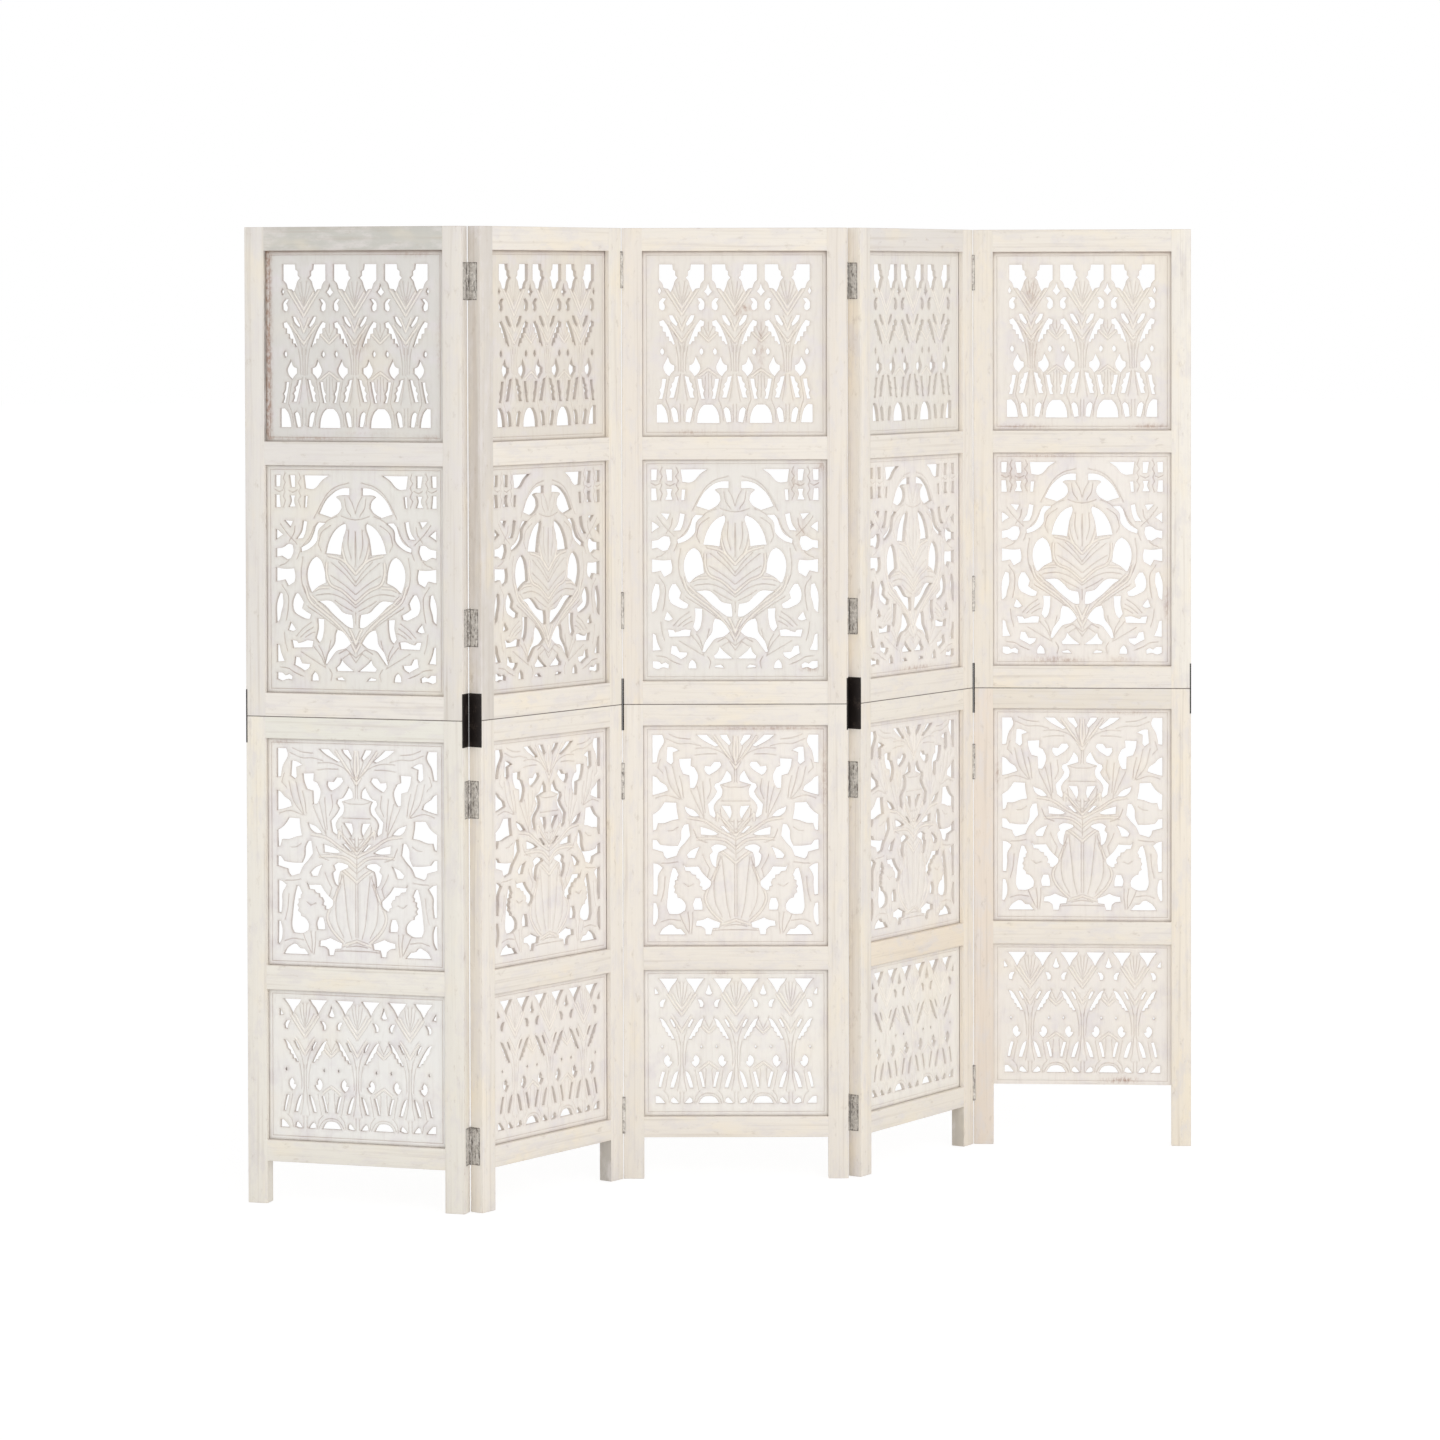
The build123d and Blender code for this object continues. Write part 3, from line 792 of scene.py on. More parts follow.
vase_grooves = (
    # lobes of the urn, from its neck down to its foot
    ((193, 545), (193, 500), (193, 456)),
    ((171, 556), (174, 530), (177, 500), (180, 475), (185, 455)),
    ((168, 556), (160, 530), (157, 503), (160, 478), (171, 455)),
    ((177, 578), (187, 569), (195, 563)),
    ((152, 430), (174, 432), (195, 432)),
    ((176, 438), (186, 440), (195, 441)),
    # stem and its fans
    ((195, 590), (195, 560)),
    ((193, 690), (193, 712)),
    ((192, 600), (192, 622)),
    ((195, 600), (172, 622), (168, 642)),
    ((195, 606), (182, 622), (190, 620)),
    ((193, 724), (186, 740), (183, 750)),
    ((195, 718), (172, 740), (150, 748), (128, 748)),
    ((160, 738), (142, 738), (126, 736)),
    ((172, 683), (184, 680), (195, 680)),
    ((174, 656), (184, 656), (195, 656)),
    # left spray
    ((140, 626), (128, 650), (118, 671)),
    ((140, 630), (134, 658), (128, 682)),
    ((142, 636), (140, 662), (138, 686)),
    ((146, 660), (152, 676), (150, 692)),
    # flower at the top left
    ((99, 660), (82, 682), (74, 712)),
    ((100, 662), (92, 688), (86, 714)),
    ((104, 664), (102, 682), (98, 698)),
    ((58, 662), (74, 666), (98, 659)),
    ((68, 706), (60, 714), (64, 728)),
    ((76, 764), (96, 756), (116, 756), (134, 752)),
    ((80, 772), (96, 766), (114, 764)),
    # middles of the two blossoms
    ((94, 610), (86, 605), (78, 604)),
    ((106, 512), (112, 507), (119, 510)),
    # leaves at the lower left
    ((112, 428), (104, 444), (98, 458)),
    ((114, 428), (114, 446), (112, 460)),
    ((118, 428), (120, 446), (120, 462)),
    ((66, 446), (80, 450), (98, 448)),
    ((66, 484), (70, 500), (72, 522)),
    ((68, 548), (78, 548), (92, 550)),
    ((146, 524), (150, 538), (142, 552), (138, 562)),
    ((122, 606), (130, 590), (144, 584)),
)
print(len(vase_openings), "openings in half a vase board")

# %% [markdown]
# ## From drawing to carved board
# A board is one thin piece of wood, so it is made as one closed mesh: its front is triangulated from
# the drawing's lines, so every opening and vein has its own edges, then each point is pushed back by
# how far it is from the nearest opening, vein or rib. The back repeats the outline, and walls join
# the two. Cutting hundreds of openings out of a block with booleans would be slow, and it would
# leave the front too coarse to carve.

# %% Curves through the drawing's points
outline_step = 2.2
corner_turn = 42.0


def unit(vectors):
    """Return vectors of length one, but leave a zero vector as it is."""
    return vectors / np.maximum(np.linalg.norm(vectors, axis=1), 1e-9)[:, None]


def smooth_line(points, closed, step):
    """Return points along a curve through the given ones, kept sharp where it turns hard."""
    points = np.array(points, float)
    count = len(points)
    ahead = np.roll(points, -1, axis=0) - points
    lengths = np.maximum(np.linalg.norm(ahead, axis=1), 1e-9)
    leaving = ahead / lengths[:, None]
    arriving = np.roll(leaving, 1, axis=0)
    turn = np.degrees(np.arccos(np.clip((leaving * arriving).sum(axis=1), -1, 1)))
    bent = turn < corner_turn
    if not closed:
        bent[0] = bent[-1] = False
        arriving[0] = leaving[0]
        leaving[-1] = arriving[-1]
    middle = unit(leaving + arriving)
    leaving = np.where(bent[:, None], middle, leaving)
    arriving = np.where(bent[:, None], middle, arriving)
    line = []
    for k in range(count if closed else count - 1):
        following = (k + 1) % count
        pieces = max(1, round(lengths[k] / step))
        t = (np.arange(pieces) / pieces)[:, None]
        line.append(
            (2 * t**3 - 3 * t**2 + 1) * points[k]
            + (t**3 - 2 * t**2 + t) * leaving[k] * lengths[k]
            + (3 * t**2 - 2 * t**3) * points[following]
            + (t**3 - t**2) * arriving[following] * lengths[k]
        )
    if not closed:
        line.append(points[-1:])
    return np.concatenate(line)


def mirrored(points, about):
    """Return the mirror image of a line, run the other way so that it still turns the same way."""
    return tuple((2 * about - u, z) for u, z in reversed(points))


def moved(points, by):
    return tuple((u + by, z) for u, z in points)


trial = smooth_line(medallion_openings[0], True, outline_step)
print("a lattice opening becomes", len(trial), "points")

# %% Whole drawings from the halves


def halves(shapes):
    """Return each half drawing's shapes with their mirror images across the board."""
    return [*shapes, *(mirrored(shape, board_middle) for shape in shapes)]


def fan_row(pitch, fan, between, ends):
    """Repeat a half fan three times across a board, with the shapes between and at the ends."""
    row = []
    for middle in (board_middle - pitch, board_middle, board_middle + pitch):
        for shape in fan:
            row += [moved(shape, middle), moved(mirrored(shape, 0), middle)]
    for middle in (board_middle - pitch / 2, board_middle + pitch / 2):
        row += [moved(shape, middle) for shape in between]
    for shape in ends:
        row += [moved(shape, board_middle), moved(mirrored(shape, 0), board_middle)]
    return row


class Drawing:
    """A board's window, its lines, the painted shade and soiling of its grooves and the painted shade
    under its top.
    """

    def __init__(self, sill, top, openings, ribs, grooves, tongue_below=8.0, top_shade=0.25,
                 groove_shade_and_dirt=0.75):
        self.sill = sill
        self.top = top
        self.openings = openings
        self.ribs = ribs
        self.grooves = grooves
        self.tongue_below = tongue_below
        self.top_shade = top_shade
        self.groove_shade_and_dirt = groove_shade_and_dirt


crown_fans = (
    fan_row(crown_pitch, crown_fan_openings, crown_between_openings, crown_end_openings),
    fan_row(crown_pitch, crown_fan_ribs, crown_between_ribs, ()),
    fan_row(crown_pitch, crown_fan_grooves, crown_between_grooves, ()),
)
base_fans = (
    fan_row(base_pitch, base_fan_openings, base_between_openings, base_end_openings),
    fan_row(base_pitch, base_fan_ribs, base_between_ribs, ()),
    fan_row(base_pitch, base_fan_grooves, base_between_grooves, ()),
)
drawings = {
    "crown": Drawing(1289, 1610, *crown_fans, top_shade=0.95, groove_shade_and_dirt=0.40),
    "medallion": Drawing(865, 1249, halves(medallion_openings), halves(medallion_ribs),
                         halves(medallion_grooves), groove_shade_and_dirt=0.68),
    "vase": Drawing(404, 788, halves(vase_openings), halves(vase_ribs), halves(vase_grooves),
                    groove_shade_and_dirt=0.60),
    "base": Drawing(108, 363, *base_fans, groove_shade_and_dirt=0.45),
    "base_without_tongue": Drawing(108, 363, *base_fans, tongue_below=0.0, groove_shade_and_dirt=0.45),
}
for name, drawing in drawings.items():
    print(f"{name}: {len(drawing.openings)} openings, {len(drawing.ribs)} ribs, "
          f"{len(drawing.grooves)} grooves")

# %% Distance and inside tests
dense_step = 0.5


def search_tree(points):
    """Return a tree that finds the nearest of some flat points."""
    tree = kdtree.KDTree(len(points))
    for k, (u, z) in enumerate(points):
        tree.insert((u, z, 0), k)
    tree.balance()
    return tree


def dense_tree(lines, closed):
    """Return a search tree of points every half millimetre or so along some lines."""
    return search_tree(np.concatenate([smooth_line(line, closed, dense_step) for line in lines]))


def distances(tree, points):
    """Return how far each point is from the nearest one in a tree."""
    return np.array([tree.find((u, z, 0))[2] for u, z in points])


def inside_any(points, loops):
    """Say for each point whether it is inside one of the closed loops."""
    found = np.zeros(len(points), bool)
    for loop in loops:
        low, high = loop.min(axis=0), loop.max(axis=0)
        near = np.nonzero(((points > low) & (points < high)).all(axis=1))[0]
        if not len(near):
            continue
        u, z = points[near, 0][:, None], points[near, 1][:, None]
        u1, z1 = loop[:, 0], loop[:, 1]
        u2, z2 = np.roll(u1, -1), np.roll(z1, -1)
        rise = np.where(z2 == z1, 1e-12, z2 - z1)
        crossed = ((z1 > z) != (z2 > z)) & (u < (u2 - u1) * (z - z1) / rise + u1)
        found[near] |= crossed.sum(axis=1) % 2 == 1
    return found


print("middle of an opening is inside:", inside_any(np.array([[55.0, 1222.0]]), [trial]))

# %% Depths of the carving
board_front = 8.5
board_back = 16.5
board_side = 27.5
tongue_above = 7.0
# the wood falls away towards an opening, and the opening's edge is eased besides
shoulder_depth = 1.1
shoulder_reach = 3.6
eased_depth = 0.7
eased_width = 1.3
# a groove is a V; a rib stands up between two more grooves, each at rib_side from its middle
groove_cut = 1.3
groove_width = 1.4
rib_rise = 0.8
rib_width = 1.5
rib_side = 2.5
rib_side_cut = 1.0
rib_side_width = 1.1
# inset of a line round the window, its half width, its depth and its share of painted shade and dirt
border_lines = ((0.0, 1.7, 1.0, 0.80), (7.0, 1.0, 0.6, 0.75))
# shares and widths of painted shade and dirt beside ribs and at openings, and of painted shade under the
# top rail and beside the left stile
rib_side_shade_and_dirt = 0.82
edge_shade_and_dirt = 0.45
edge_shade_and_dirt_width = 1.8
top_shade_width = 8.0
side_shade = 0.30
side_shade_width = 6.0
# the hand-cut face is a little uneven
uneven_depth = 0.22
uneven_size = 23.0
uneven_slice = 3.1


def fading(distance, width):
    """Return 1 at no distance, falling evenly to 0 at a width and beyond."""
    return np.clip(1 - distance / width, 0, 1)


class Carving:
    """How deep a board is cut at any point of its front."""

    def __init__(self, drawing):
        self.drawing = drawing
        self.edges = dense_tree(drawing.openings, True)
        self.ribs = dense_tree(drawing.ribs, False)
        self.grooves = dense_tree(drawing.grooves, False)

    def measure(self, points):
        """Return depth behind the frame's front, the share of painted shade and soiling, and the ridge
        share.
        """
        drawing = self.drawing
        edge = distances(self.edges, points)
        rib = distances(self.ribs, points)
        groove = distances(self.grooves, points)
        u, z = points[:, 0], points[:, 1]
        inset = np.minimum(
            np.minimum(u - stile_width, panel_width - stile_width - u),
            np.minimum(z - drawing.sill, drawing.top - z),
        )
        in_window = inset > -0.01
        in_groove = fading(groove, groove_width)
        beside_rib = fading(np.abs(rib - rib_side), rib_side_width)
        ridge = fading(rib, rib_width)
        depth = np.full(len(points), board_front)
        depth += shoulder_depth * np.exp(-edge / shoulder_reach) + eased_depth * fading(edge, eased_width)
        depth += groove_cut * in_groove
        depth += rib_side_cut * beside_rib - rib_rise * ridge
        # painted shade and dirt in grooves, beside ribs and at openings; painted shade under the top rail
        # and beside the left stile
        shade_and_dirt = np.maximum.reduce([
            drawing.groove_shade_and_dirt * in_groove,
            rib_side_shade_and_dirt * drawing.groove_shade_and_dirt * beside_rib,
            edge_shade_and_dirt * fading(edge, edge_shade_and_dirt_width),
            drawing.top_shade * fading(drawing.top - z, top_shade_width) * in_window,
            side_shade * fading(u - stile_width, side_shade_width) * in_window,
        ])
        for middle, half_width, cut, line_shade_and_dirt in border_lines:
            share = fading(np.abs(inset - middle), half_width) * in_window
            depth += cut * share
            shade_and_dirt = np.maximum(shade_and_dirt, line_shade_and_dirt * share)
        uneven = np.array([
            noise.noise(Vector((a / uneven_size, b / uneven_size, uneven_slice))) for a, b in points
        ])
        depth += np.where(inset > 0.1, uneven_depth * uneven, 0)
        return np.where(in_window, depth, board_front), shade_and_dirt, ridge


carvings = {name: Carving(drawing) for name, drawing in drawings.items()}
print("depth at the middle of a medallion:",
      carvings["medallion"].measure(np.array([[195.0, 1057.0]]))[0])

# %% Lines beside a vein


def beside(line, offset):
    """Return a line moved sideways by an offset."""
    ahead = unit(np.gradient(line, axis=0))
    return line + offset * np.stack([-ahead[:, 1], ahead[:, 0]], axis=1)


def around(loop, offset):
    """Return a closed loop grown or shrunk by an offset, whichever way it runs."""
    following = np.roll(loop, -1, axis=0)
    ahead = unit(following - np.roll(loop, 1, axis=0))
    area = (loop[:, 0] * following[:, 1] - following[:, 0] * loop[:, 1]).sum() / 2
    outwards = np.stack([ahead[:, 1], -ahead[:, 0]], axis=1) * np.sign(area)
    return loop + offset * outwards


def window_loop(drawing, inset, step):
    """Return a rectangle inside a board's window, by an inset, with points along its sides."""
    u1, u2 = stile_width + inset, panel_width - stile_width - inset
    z1, z2 = drawing.sill + inset, drawing.top - inset
    across = np.linspace(u1, u2, max(2, round((u2 - u1) / step)) + 1)[:-1]
    upwards = np.linspace(z1, z2, max(2, round((z2 - z1) / step)) + 1)[:-1]
    return np.concatenate([
        np.stack([across, np.full(len(across), z1)], axis=1),
        np.stack([np.full(len(upwards), u2), upwards], axis=1),
        np.stack([u1 + u2 - across, np.full(len(across), z2)], axis=1),
        np.stack([np.full(len(upwards), u1), z1 + z2 - upwards], axis=1),
    ])


print("a ring round the trial opening has", len(around(trial, eased_width)), "points")

# %% Points and fixed edges
class Sheet:
    """Points and fixed edges that a triangulation starts from."""

    def __init__(self):
        self.points = []
        self.edges = []

    def add_loop(self, loop):
        start = len(self.points)
        self.points += loop.tolist()
        count = len(loop)
        self.edges += [(start + k, start + (k + 1) % count) for k in range(count)]

    def add_line(self, line, kept):
        """Add the kept points of a line, joined where neighbours are both kept."""
        previous = None
        for point, keep in zip(line.tolist(), kept):
            if not keep:
                previous = None
                continue
            self.points.append(point)
            if previous is not None:
                self.edges.append((previous, len(self.points) - 1))
            previous = len(self.points) - 1


def board_rectangle(drawing):
    """Return a board's corners, with the tongues that sit in the frame's grooves."""
    left, right = board_side, panel_width - board_side
    foot, head = drawing.sill - drawing.tongue_below, drawing.top + tongue_above
    return np.array([(left, foot), (right, foot), (right, head), (left, head)])


print("a crown board's corners:", board_rectangle(drawings["crown"]).tolist())

# %% Points and edges of a board's front
# a grid's row height and the room round its points are shares of its step
grid_step = 5.0
grid_row = 0.87
grid_gap = 0.52
grid_margin = 2.0
# veins and the lines beside them keep these gaps from an opening
vein_step = 3.2
vein_gap = 1.1
side_gap = 1.2
# a point of a ring or a side line is kept if it is nearly as far off as it was meant to be
ring_kept = 0.93
side_kept = 0.9
rib_foot = 3.6
window_step = 12.0
border_insets = (0.0, 1.3, 6.0, 7.0, 8.0)


def front_sheet(carving, loops):
    """Lay out the points of a board's front: outlines, veins, the window's channel and a grid."""
    drawing = carving.drawing
    sheet = Sheet()
    sheet.add_loop(board_rectangle(drawing))
    for inset in border_insets:
        if inset or drawing.tongue_below:
            sheet.add_loop(window_loop(drawing, inset, window_step))
    for loop in loops:
        sheet.add_loop(loop)

    def clear(points, gap):
        """Say which points are on the wood and further than a gap from every opening."""
        return (distances(carving.edges, points) > gap) & ~inside_any(points, loops)

    rings = np.concatenate([around(loop, eased_width) for loop in loops])
    sheet.points += rings[clear(rings, eased_width * ring_kept)].tolist()
    lines = [(line, carving.grooves, (groove_width,)) for line in drawing.grooves]
    lines += [(line, carving.ribs, (rib_width, rib_side, rib_foot)) for line in drawing.ribs]
    for line, tree, offsets in lines:
        middle = smooth_line(line, False, vein_step)
        sheet.add_line(middle, clear(middle, vein_gap))
        for offset in offsets:
            sides = np.concatenate([beside(middle, offset), beside(middle, -offset)])
            kept = clear(sides, side_gap) & (distances(tree, sides) > offset * side_kept)
            sheet.points += sides[kept].tolist()

    taken = search_tree(sheet.points)
    margin = border_insets[-1] + grid_margin
    us = np.arange(stile_width + margin, panel_width - stile_width - margin, grid_step)
    zs = np.arange(drawing.sill + margin, drawing.top - margin, grid_step * grid_row)
    grid = np.array([(u + (row % 2) * grid_step / 2, z) for row, z in enumerate(zs) for u in us])
    grid = grid[(distances(taken, grid) > grid_step * grid_gap) & ~inside_any(grid, loops)]
    sheet.points += grid.tolist()
    return sheet


def triangulated(points, edges, loops):
    """Triangulate a sheet, and leave out the triangles inside its openings."""
    flat = [Vector(point) for point in points]
    found, _, faces, *_ = delaunay_2d_cdt(flat, edges, [], 0, 1e-4, False)
    found = np.array([tuple(point) for point in found])
    faces = np.array(faces)
    middles = found[faces].mean(axis=1)
    return found, faces[~inside_any(middles, loops)]


trial_sheet = front_sheet(carvings["medallion"], [trial])
print("a medallion's front with one opening starts from", len(trial_sheet.points), "points")

# %% A closed board
back_step = 24.0
back_gap = 4.0
# painted shade and dirt at the openings' edges on the back
back_edge_shade_and_dirt = 0.35
back_edge_width = 1.5


def used_points(points, faces):
    """Drop points that no face uses, and renumber the faces."""
    used = np.unique(faces)
    number = np.full(len(points), -1)
    number[used] = np.arange(len(used))
    return points[used], number[faces]


def rim_edges(faces):
    """Return the edges that only one triangle uses, in that triangle's direction."""
    pairs = np.concatenate([faces[:, [0, 1]], faces[:, [1, 2]], faces[:, [2, 0]]])
    keys = {tuple(pair) for pair in pairs.tolist()}
    return np.array([pair for pair in pairs.tolist() if (pair[1], pair[0]) not in keys])


def carved_board(carving):
    """Return points, triangles, walls, painted shade and soiling, and ridge of a board, in a panel's
    millimetres.
    """
    drawing = carving.drawing
    loops = [smooth_line(line, True, outline_step) for line in drawing.openings]
    sheet = front_sheet(carving, loops)
    front, faces = used_points(*triangulated(sheet.points, sheet.edges, loops))
    depth, shade_and_dirt, ridge = carving.measure(front)
    rim = rim_edges(faces)
    rim_points = np.unique(rim)
    number = {point: k for k, point in enumerate(rim_points.tolist())}
    back_edges = [(number[a], number[b]) for a, b in rim.tolist()]
    us = np.arange(board_side + back_step / 2, panel_width - board_side - back_step / 4, back_step)
    zs = np.arange(drawing.sill + back_step / 3, drawing.top, back_step)
    grid = np.array([(u, z) for u in us for z in zs])
    grid = grid[(distances(carving.edges, grid) > back_gap) & ~inside_any(grid, loops)]
    back_start = np.concatenate([front[rim_points], grid])
    back, back_faces = triangulated(back_start.tolist(), back_edges, loops)
    nearest = search_tree(back)
    behind = {point: nearest.find((*front[point], 0))[1] for point in rim_points.tolist()}
    shift = len(front)
    walls = [(b, a, behind[a] + shift, behind[b] + shift) for a, b in rim.tolist()]
    points = np.concatenate([
        np.stack([front[:, 0], depth, front[:, 1]], axis=1),
        np.stack([back[:, 0], np.full(len(back), board_back), back[:, 1]], axis=1),
    ])
    back_shade_and_dirt = back_edge_shade_and_dirt * fading(distances(carving.edges, back), back_edge_width)
    return {
        "points": points,
        "faces": faces.tolist() + (back_faces[:, ::-1] + shift).tolist() + walls,
        "shade_and_dirt": np.concatenate([shade_and_dirt, back_shade_and_dirt]),
        "ridge": np.concatenate([ridge, np.zeros(len(back))]),
    }


boards = {}
for name, carving in carvings.items():
    boards[name] = carved_board(carving)
    print(f"{name} board: {len(boards[name]['points'])} points, {len(boards[name]['faces'])} faces")

# %% [markdown]
# ## Standing the boards in their frames
# The same four drawings serve all five panels, as one template does in a workshop. Each board gets
# its own tone and its own marks: patches where the paint has worn or the wood has bled through it,
# and a few strips of painted shade beside panel 1's left stile and of painted shade and dirt under
# the rails. Its place goes into its mesh.

# %% Attributes on a mesh


def give_values(mesh, name, values):
    """Store one number or one vector for each point of a mesh."""
    values = np.asarray(values, np.float32)
    kind = "FLOAT" if values.ndim == 1 else "FLOAT_VECTOR"
    attribute = mesh.attributes.new(name, kind, "POINT")
    attribute.data.foreach_set("value" if values.ndim == 1 else "vector", values.ravel())


def placed(points, matrix):
    """Move points in millimetres to their place in metres."""
    turn = np.array(matrix.to_3x3())
    return points * MM @ turn.T + np.array(matrix.translation)


def smoothed(mesh, sharp_from):
    """Shade a mesh smooth, but sharp where its faces meet at more than some degrees."""
    mesh.shade_smooth()
    mesh.set_sharp_from_angle(angle=math.radians(sharp_from))
    return mesh


def new_piece(name, mesh, body, slot, *replaced):
    """Link a finished mesh as a piece that rides on a body and stands for some nodes."""
    piece = linked(name, mesh)
    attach(piece, body)
    if replaced:
        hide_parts(*replaced)
    return piece


print("attributes go on", len(PANELS) * 4, "boards")

# %% Tones and stains
board_tone = {
    ("crown", 1): (218, 215, 210),
    ("crown", 2): (225, 218, 208),
    ("crown", 3): (230, 224, 216),
    ("crown", 4): (231, 226, 218),
    ("crown", 5): (235, 229, 221),
    ("medallion", 1): (229, 226, 220),
    ("medallion", 2): (228, 222, 214),
    ("medallion", 3): (231, 227, 221),
    ("vase", 1): (238, 235, 231),
    ("base", 1): (238, 236, 232),
    ("base", 3): (239, 235, 229),
    ("base", 4): (240, 235, 227),
}
default_board_tone = (238, 232, 225)
# panel: how strongly its painted shade and dirt are laid on, beside the drawing's own share
panel_shade_and_dirt = {1: 1.3, 4: 0.6}
# board, panel: middle u and z, half width, half height and strength, in the panel's millimetres;
# the band beside panel 1's left stile in its crown is painted shade, and the thin strips just under
# a rail are painted shade and dirt
board_stains_and_shade = {
    ("crown", 3): ((214, 1512, 10, 5, 1.3), (203, 1502, 8, 5, 0.8), (241, 1442, 7, 38, 0.6),
                   (120, 1296, 30, 3, 0.6)),
    ("crown", 1): ((300, 1603, 30, 4, 0.6), (345, 1450, 3, 60, 0.5), (208, 1452, 14, 20, 0.4),
                   (39, 1450, 6, 600, 1.6), (110, 1294, 70, 2.5, 0.9), (213, 1305, 60, 1.5, 0.9),
                   (330, 1297, 20, 4, 0.6)),
    ("crown", 5): ((90, 1296, 40, 3, 0.7), (104, 1540, 12, 30, 0.6), (112, 1420, 12, 60, 0.3),
                   (320, 1297, 34, 4, 0.8)),
    ("medallion", 3): ((345, 1235, 9, 9, 0.9), (350, 1040, 3, 70, 0.5), (325, 886, 16, 5, 0.9),
                       (300, 1205, 14, 22, 0.5), (310, 1120, 12, 30, 0.4)),
    ("medallion", 4): ((200, 874, 60, 4, 0.8),),
    ("medallion", 5): ((150, 876, 50, 5, 1.0), (346, 975, 4, 26, 0.9), (75, 1205, 30, 28, 0.4),
                       (265, 877, 22, 4, 0.8), (120, 1243, 60, 2, 0.7)),
    ("vase", 1): ((60, 782, 20, 4, 0.6),),
    ("vase", 3): ((250, 783, 90, 3, 0.9), (350, 690, 4, 60, 0.8)),
    ("vase", 5): ((43, 670, 4, 20, 0.8), (280, 780, 40, 3, 0.6)),
    ("base", 3): ((165, 357, 12, 4, 0.7),),
    ("base", 5): ((265, 117, 30, 5, 1.2),),
}


def stain_and_shade_share(points, marks):
    """Return how strongly each point is stained or painted with shade, from 0 to 1."""
    share = np.zeros(len(points))
    for u, z, half_width, half_height, strength in marks:
        away = ((points[:, 0] - u) / half_width) ** 2 + ((points[:, 2] - z) / half_height) ** 2
        share = np.maximum(share, strength * np.exp(-away))
    return share


print(sum(len(marks) for marks in board_stains_and_shade.values()), "marks")

# %% Twenty boards
board_sharp_from = 42
# each panel's boards are cut from another part of the wood, so their noises differ
grain_shift = np.array([3.7, 0.0, 1.9])
for kind in ("crown", "medallion", "vase", "base"):
    for panel in PANELS:
        drawn = "base_without_tongue" if (kind, panel) == ("base", 5) else kind
        board = boards[drawn]
        points = board["points"]
        mesh = bpy.data.meshes.new(f"carved_{kind}_{panel}")
        mesh.from_pydata(placed(points, stand[panel]), [], board["faces"])
        smoothed(mesh, board_sharp_from)
        give_values(mesh, "grain", points * MM + panel * grain_shift)
        tone = colour(*board_tone.get((kind, panel), default_board_tone))[:3]
        give_values(mesh, "paint", np.tile(tone, (len(points), 1)))
        give_values(mesh, "shade_and_dirt", board["shade_and_dirt"] * panel_shade_and_dirt.get(panel, 1.0))
        give_values(mesh, "ridge", board["ridge"])
        give_values(mesh, "stain_and_shade", stain_and_shade_share(points, board_stains_and_shade.get((kind, panel), ())))
        mesh.materials.append(carving_paint.material)
        new_piece(f"carved_{kind}_{panel}", mesh, f"panel_{panel}", "painted_carving",
                  f"{kind}_board_{panel}")
    print(kind, "boards stand in their frames")

# %% [markdown]
# ## Frame members
# The stiles and rails are straight battens with their edges planed off by less than a millimetre. A
# stile is drawn as a plain batten, and then the groove for the boards and the shallow beds of its
# plates and hinges are cut from it, so their rims stay sharp. A rail is a copy of its solid. The
# attributes say which way the grain runs, and make three stiles' inner faces darker: on panel 1 as
# painted shade in the crown's reveal, on panels 2 and 4 at the feet.

# %% Sizes of the members and of what is let into them
outer_ease = 0.0008
seam_ease = 0.0005
inner_ease = 0.00025
foot_height = 72.0
groove_depth = 8.0
plate_bed = 2.1
plate_height = 90.0
leaf_thickness = 1.5
leaf_width = 20.0
leaf_height = 63.0
barrel_radius = 2.8
round_sides = 24
pin_radius = 1.4
knuckle_gap = 0.3
let_in_clearance = 0.1
groove_clearance = 0.2
# a cutter runs this far past what it cuts, and a point this near a face counts as on it
overrun = 1.0
touching = 0.1
mountain_folds = (1, 3)
hinge_heights = {
    1: (111.0, 692.0, 979.0, 1558.0),
    2: (111.0, 692.0, 988.0, 1578.0),
    3: (111.0, 692.0, 976.0, 1558.0),
    4: (111.0, 692.0, 995.0, 1573.0),
}
rail_heights = {
    "upper_rails": ((825, 865), (1249, 1289), (1610, 1650)),
    "lower_rails": ((72, 108), (363, 404), (788, 825)),
}
print("rails fill", {kind: sum(b - a for a, b in levels) for kind, levels in rail_heights.items()}, "mm")

# %% Tones of the members
default_frame_tone = (235, 228, 218)
# node, panel: tone of each member, left and right stile or rails from the bottom up; panel 2's
# upper left stile is darker as painted shade beside fold 1
member_tone_and_shade = {
    ("upper_stiles", 1): ((229, 224, 217), (227, 221, 213)),
    ("lower_stiles", 1): ((236, 231, 221), (234, 229, 219)),
    ("upper_rails", 1): ((236, 230, 222), (229, 224, 218), (200, 198, 191)),
    ("lower_rails", 1): ((234, 229, 219), (237, 232, 222), (233, 230, 220)),
    # panel 2's upper left stile: painted shade beside the fold
    ("upper_stiles", 2): ((216, 209, 201), (234, 227, 216)),
    ("upper_stiles", 3): ((231, 223, 213), (231, 223, 213)),
    ("upper_rails", 4): ((235, 228, 218), (235, 228, 218), (228, 222, 215)),
    ("lower_rails", 4): ((235, 228, 217), (236, 224, 207), (236, 229, 218)),
    ("upper_stiles", 5): ((233, 225, 213), (239, 233, 223)),
    ("lower_stiles", 5): ((231, 219, 206), (238, 229, 215)),
    ("lower_stiles", 4): ((235, 228, 218), (235, 226, 213)),
    ("lower_rails", 5): ((235, 228, 218), (235, 228, 218), (229, 221, 209)),
}
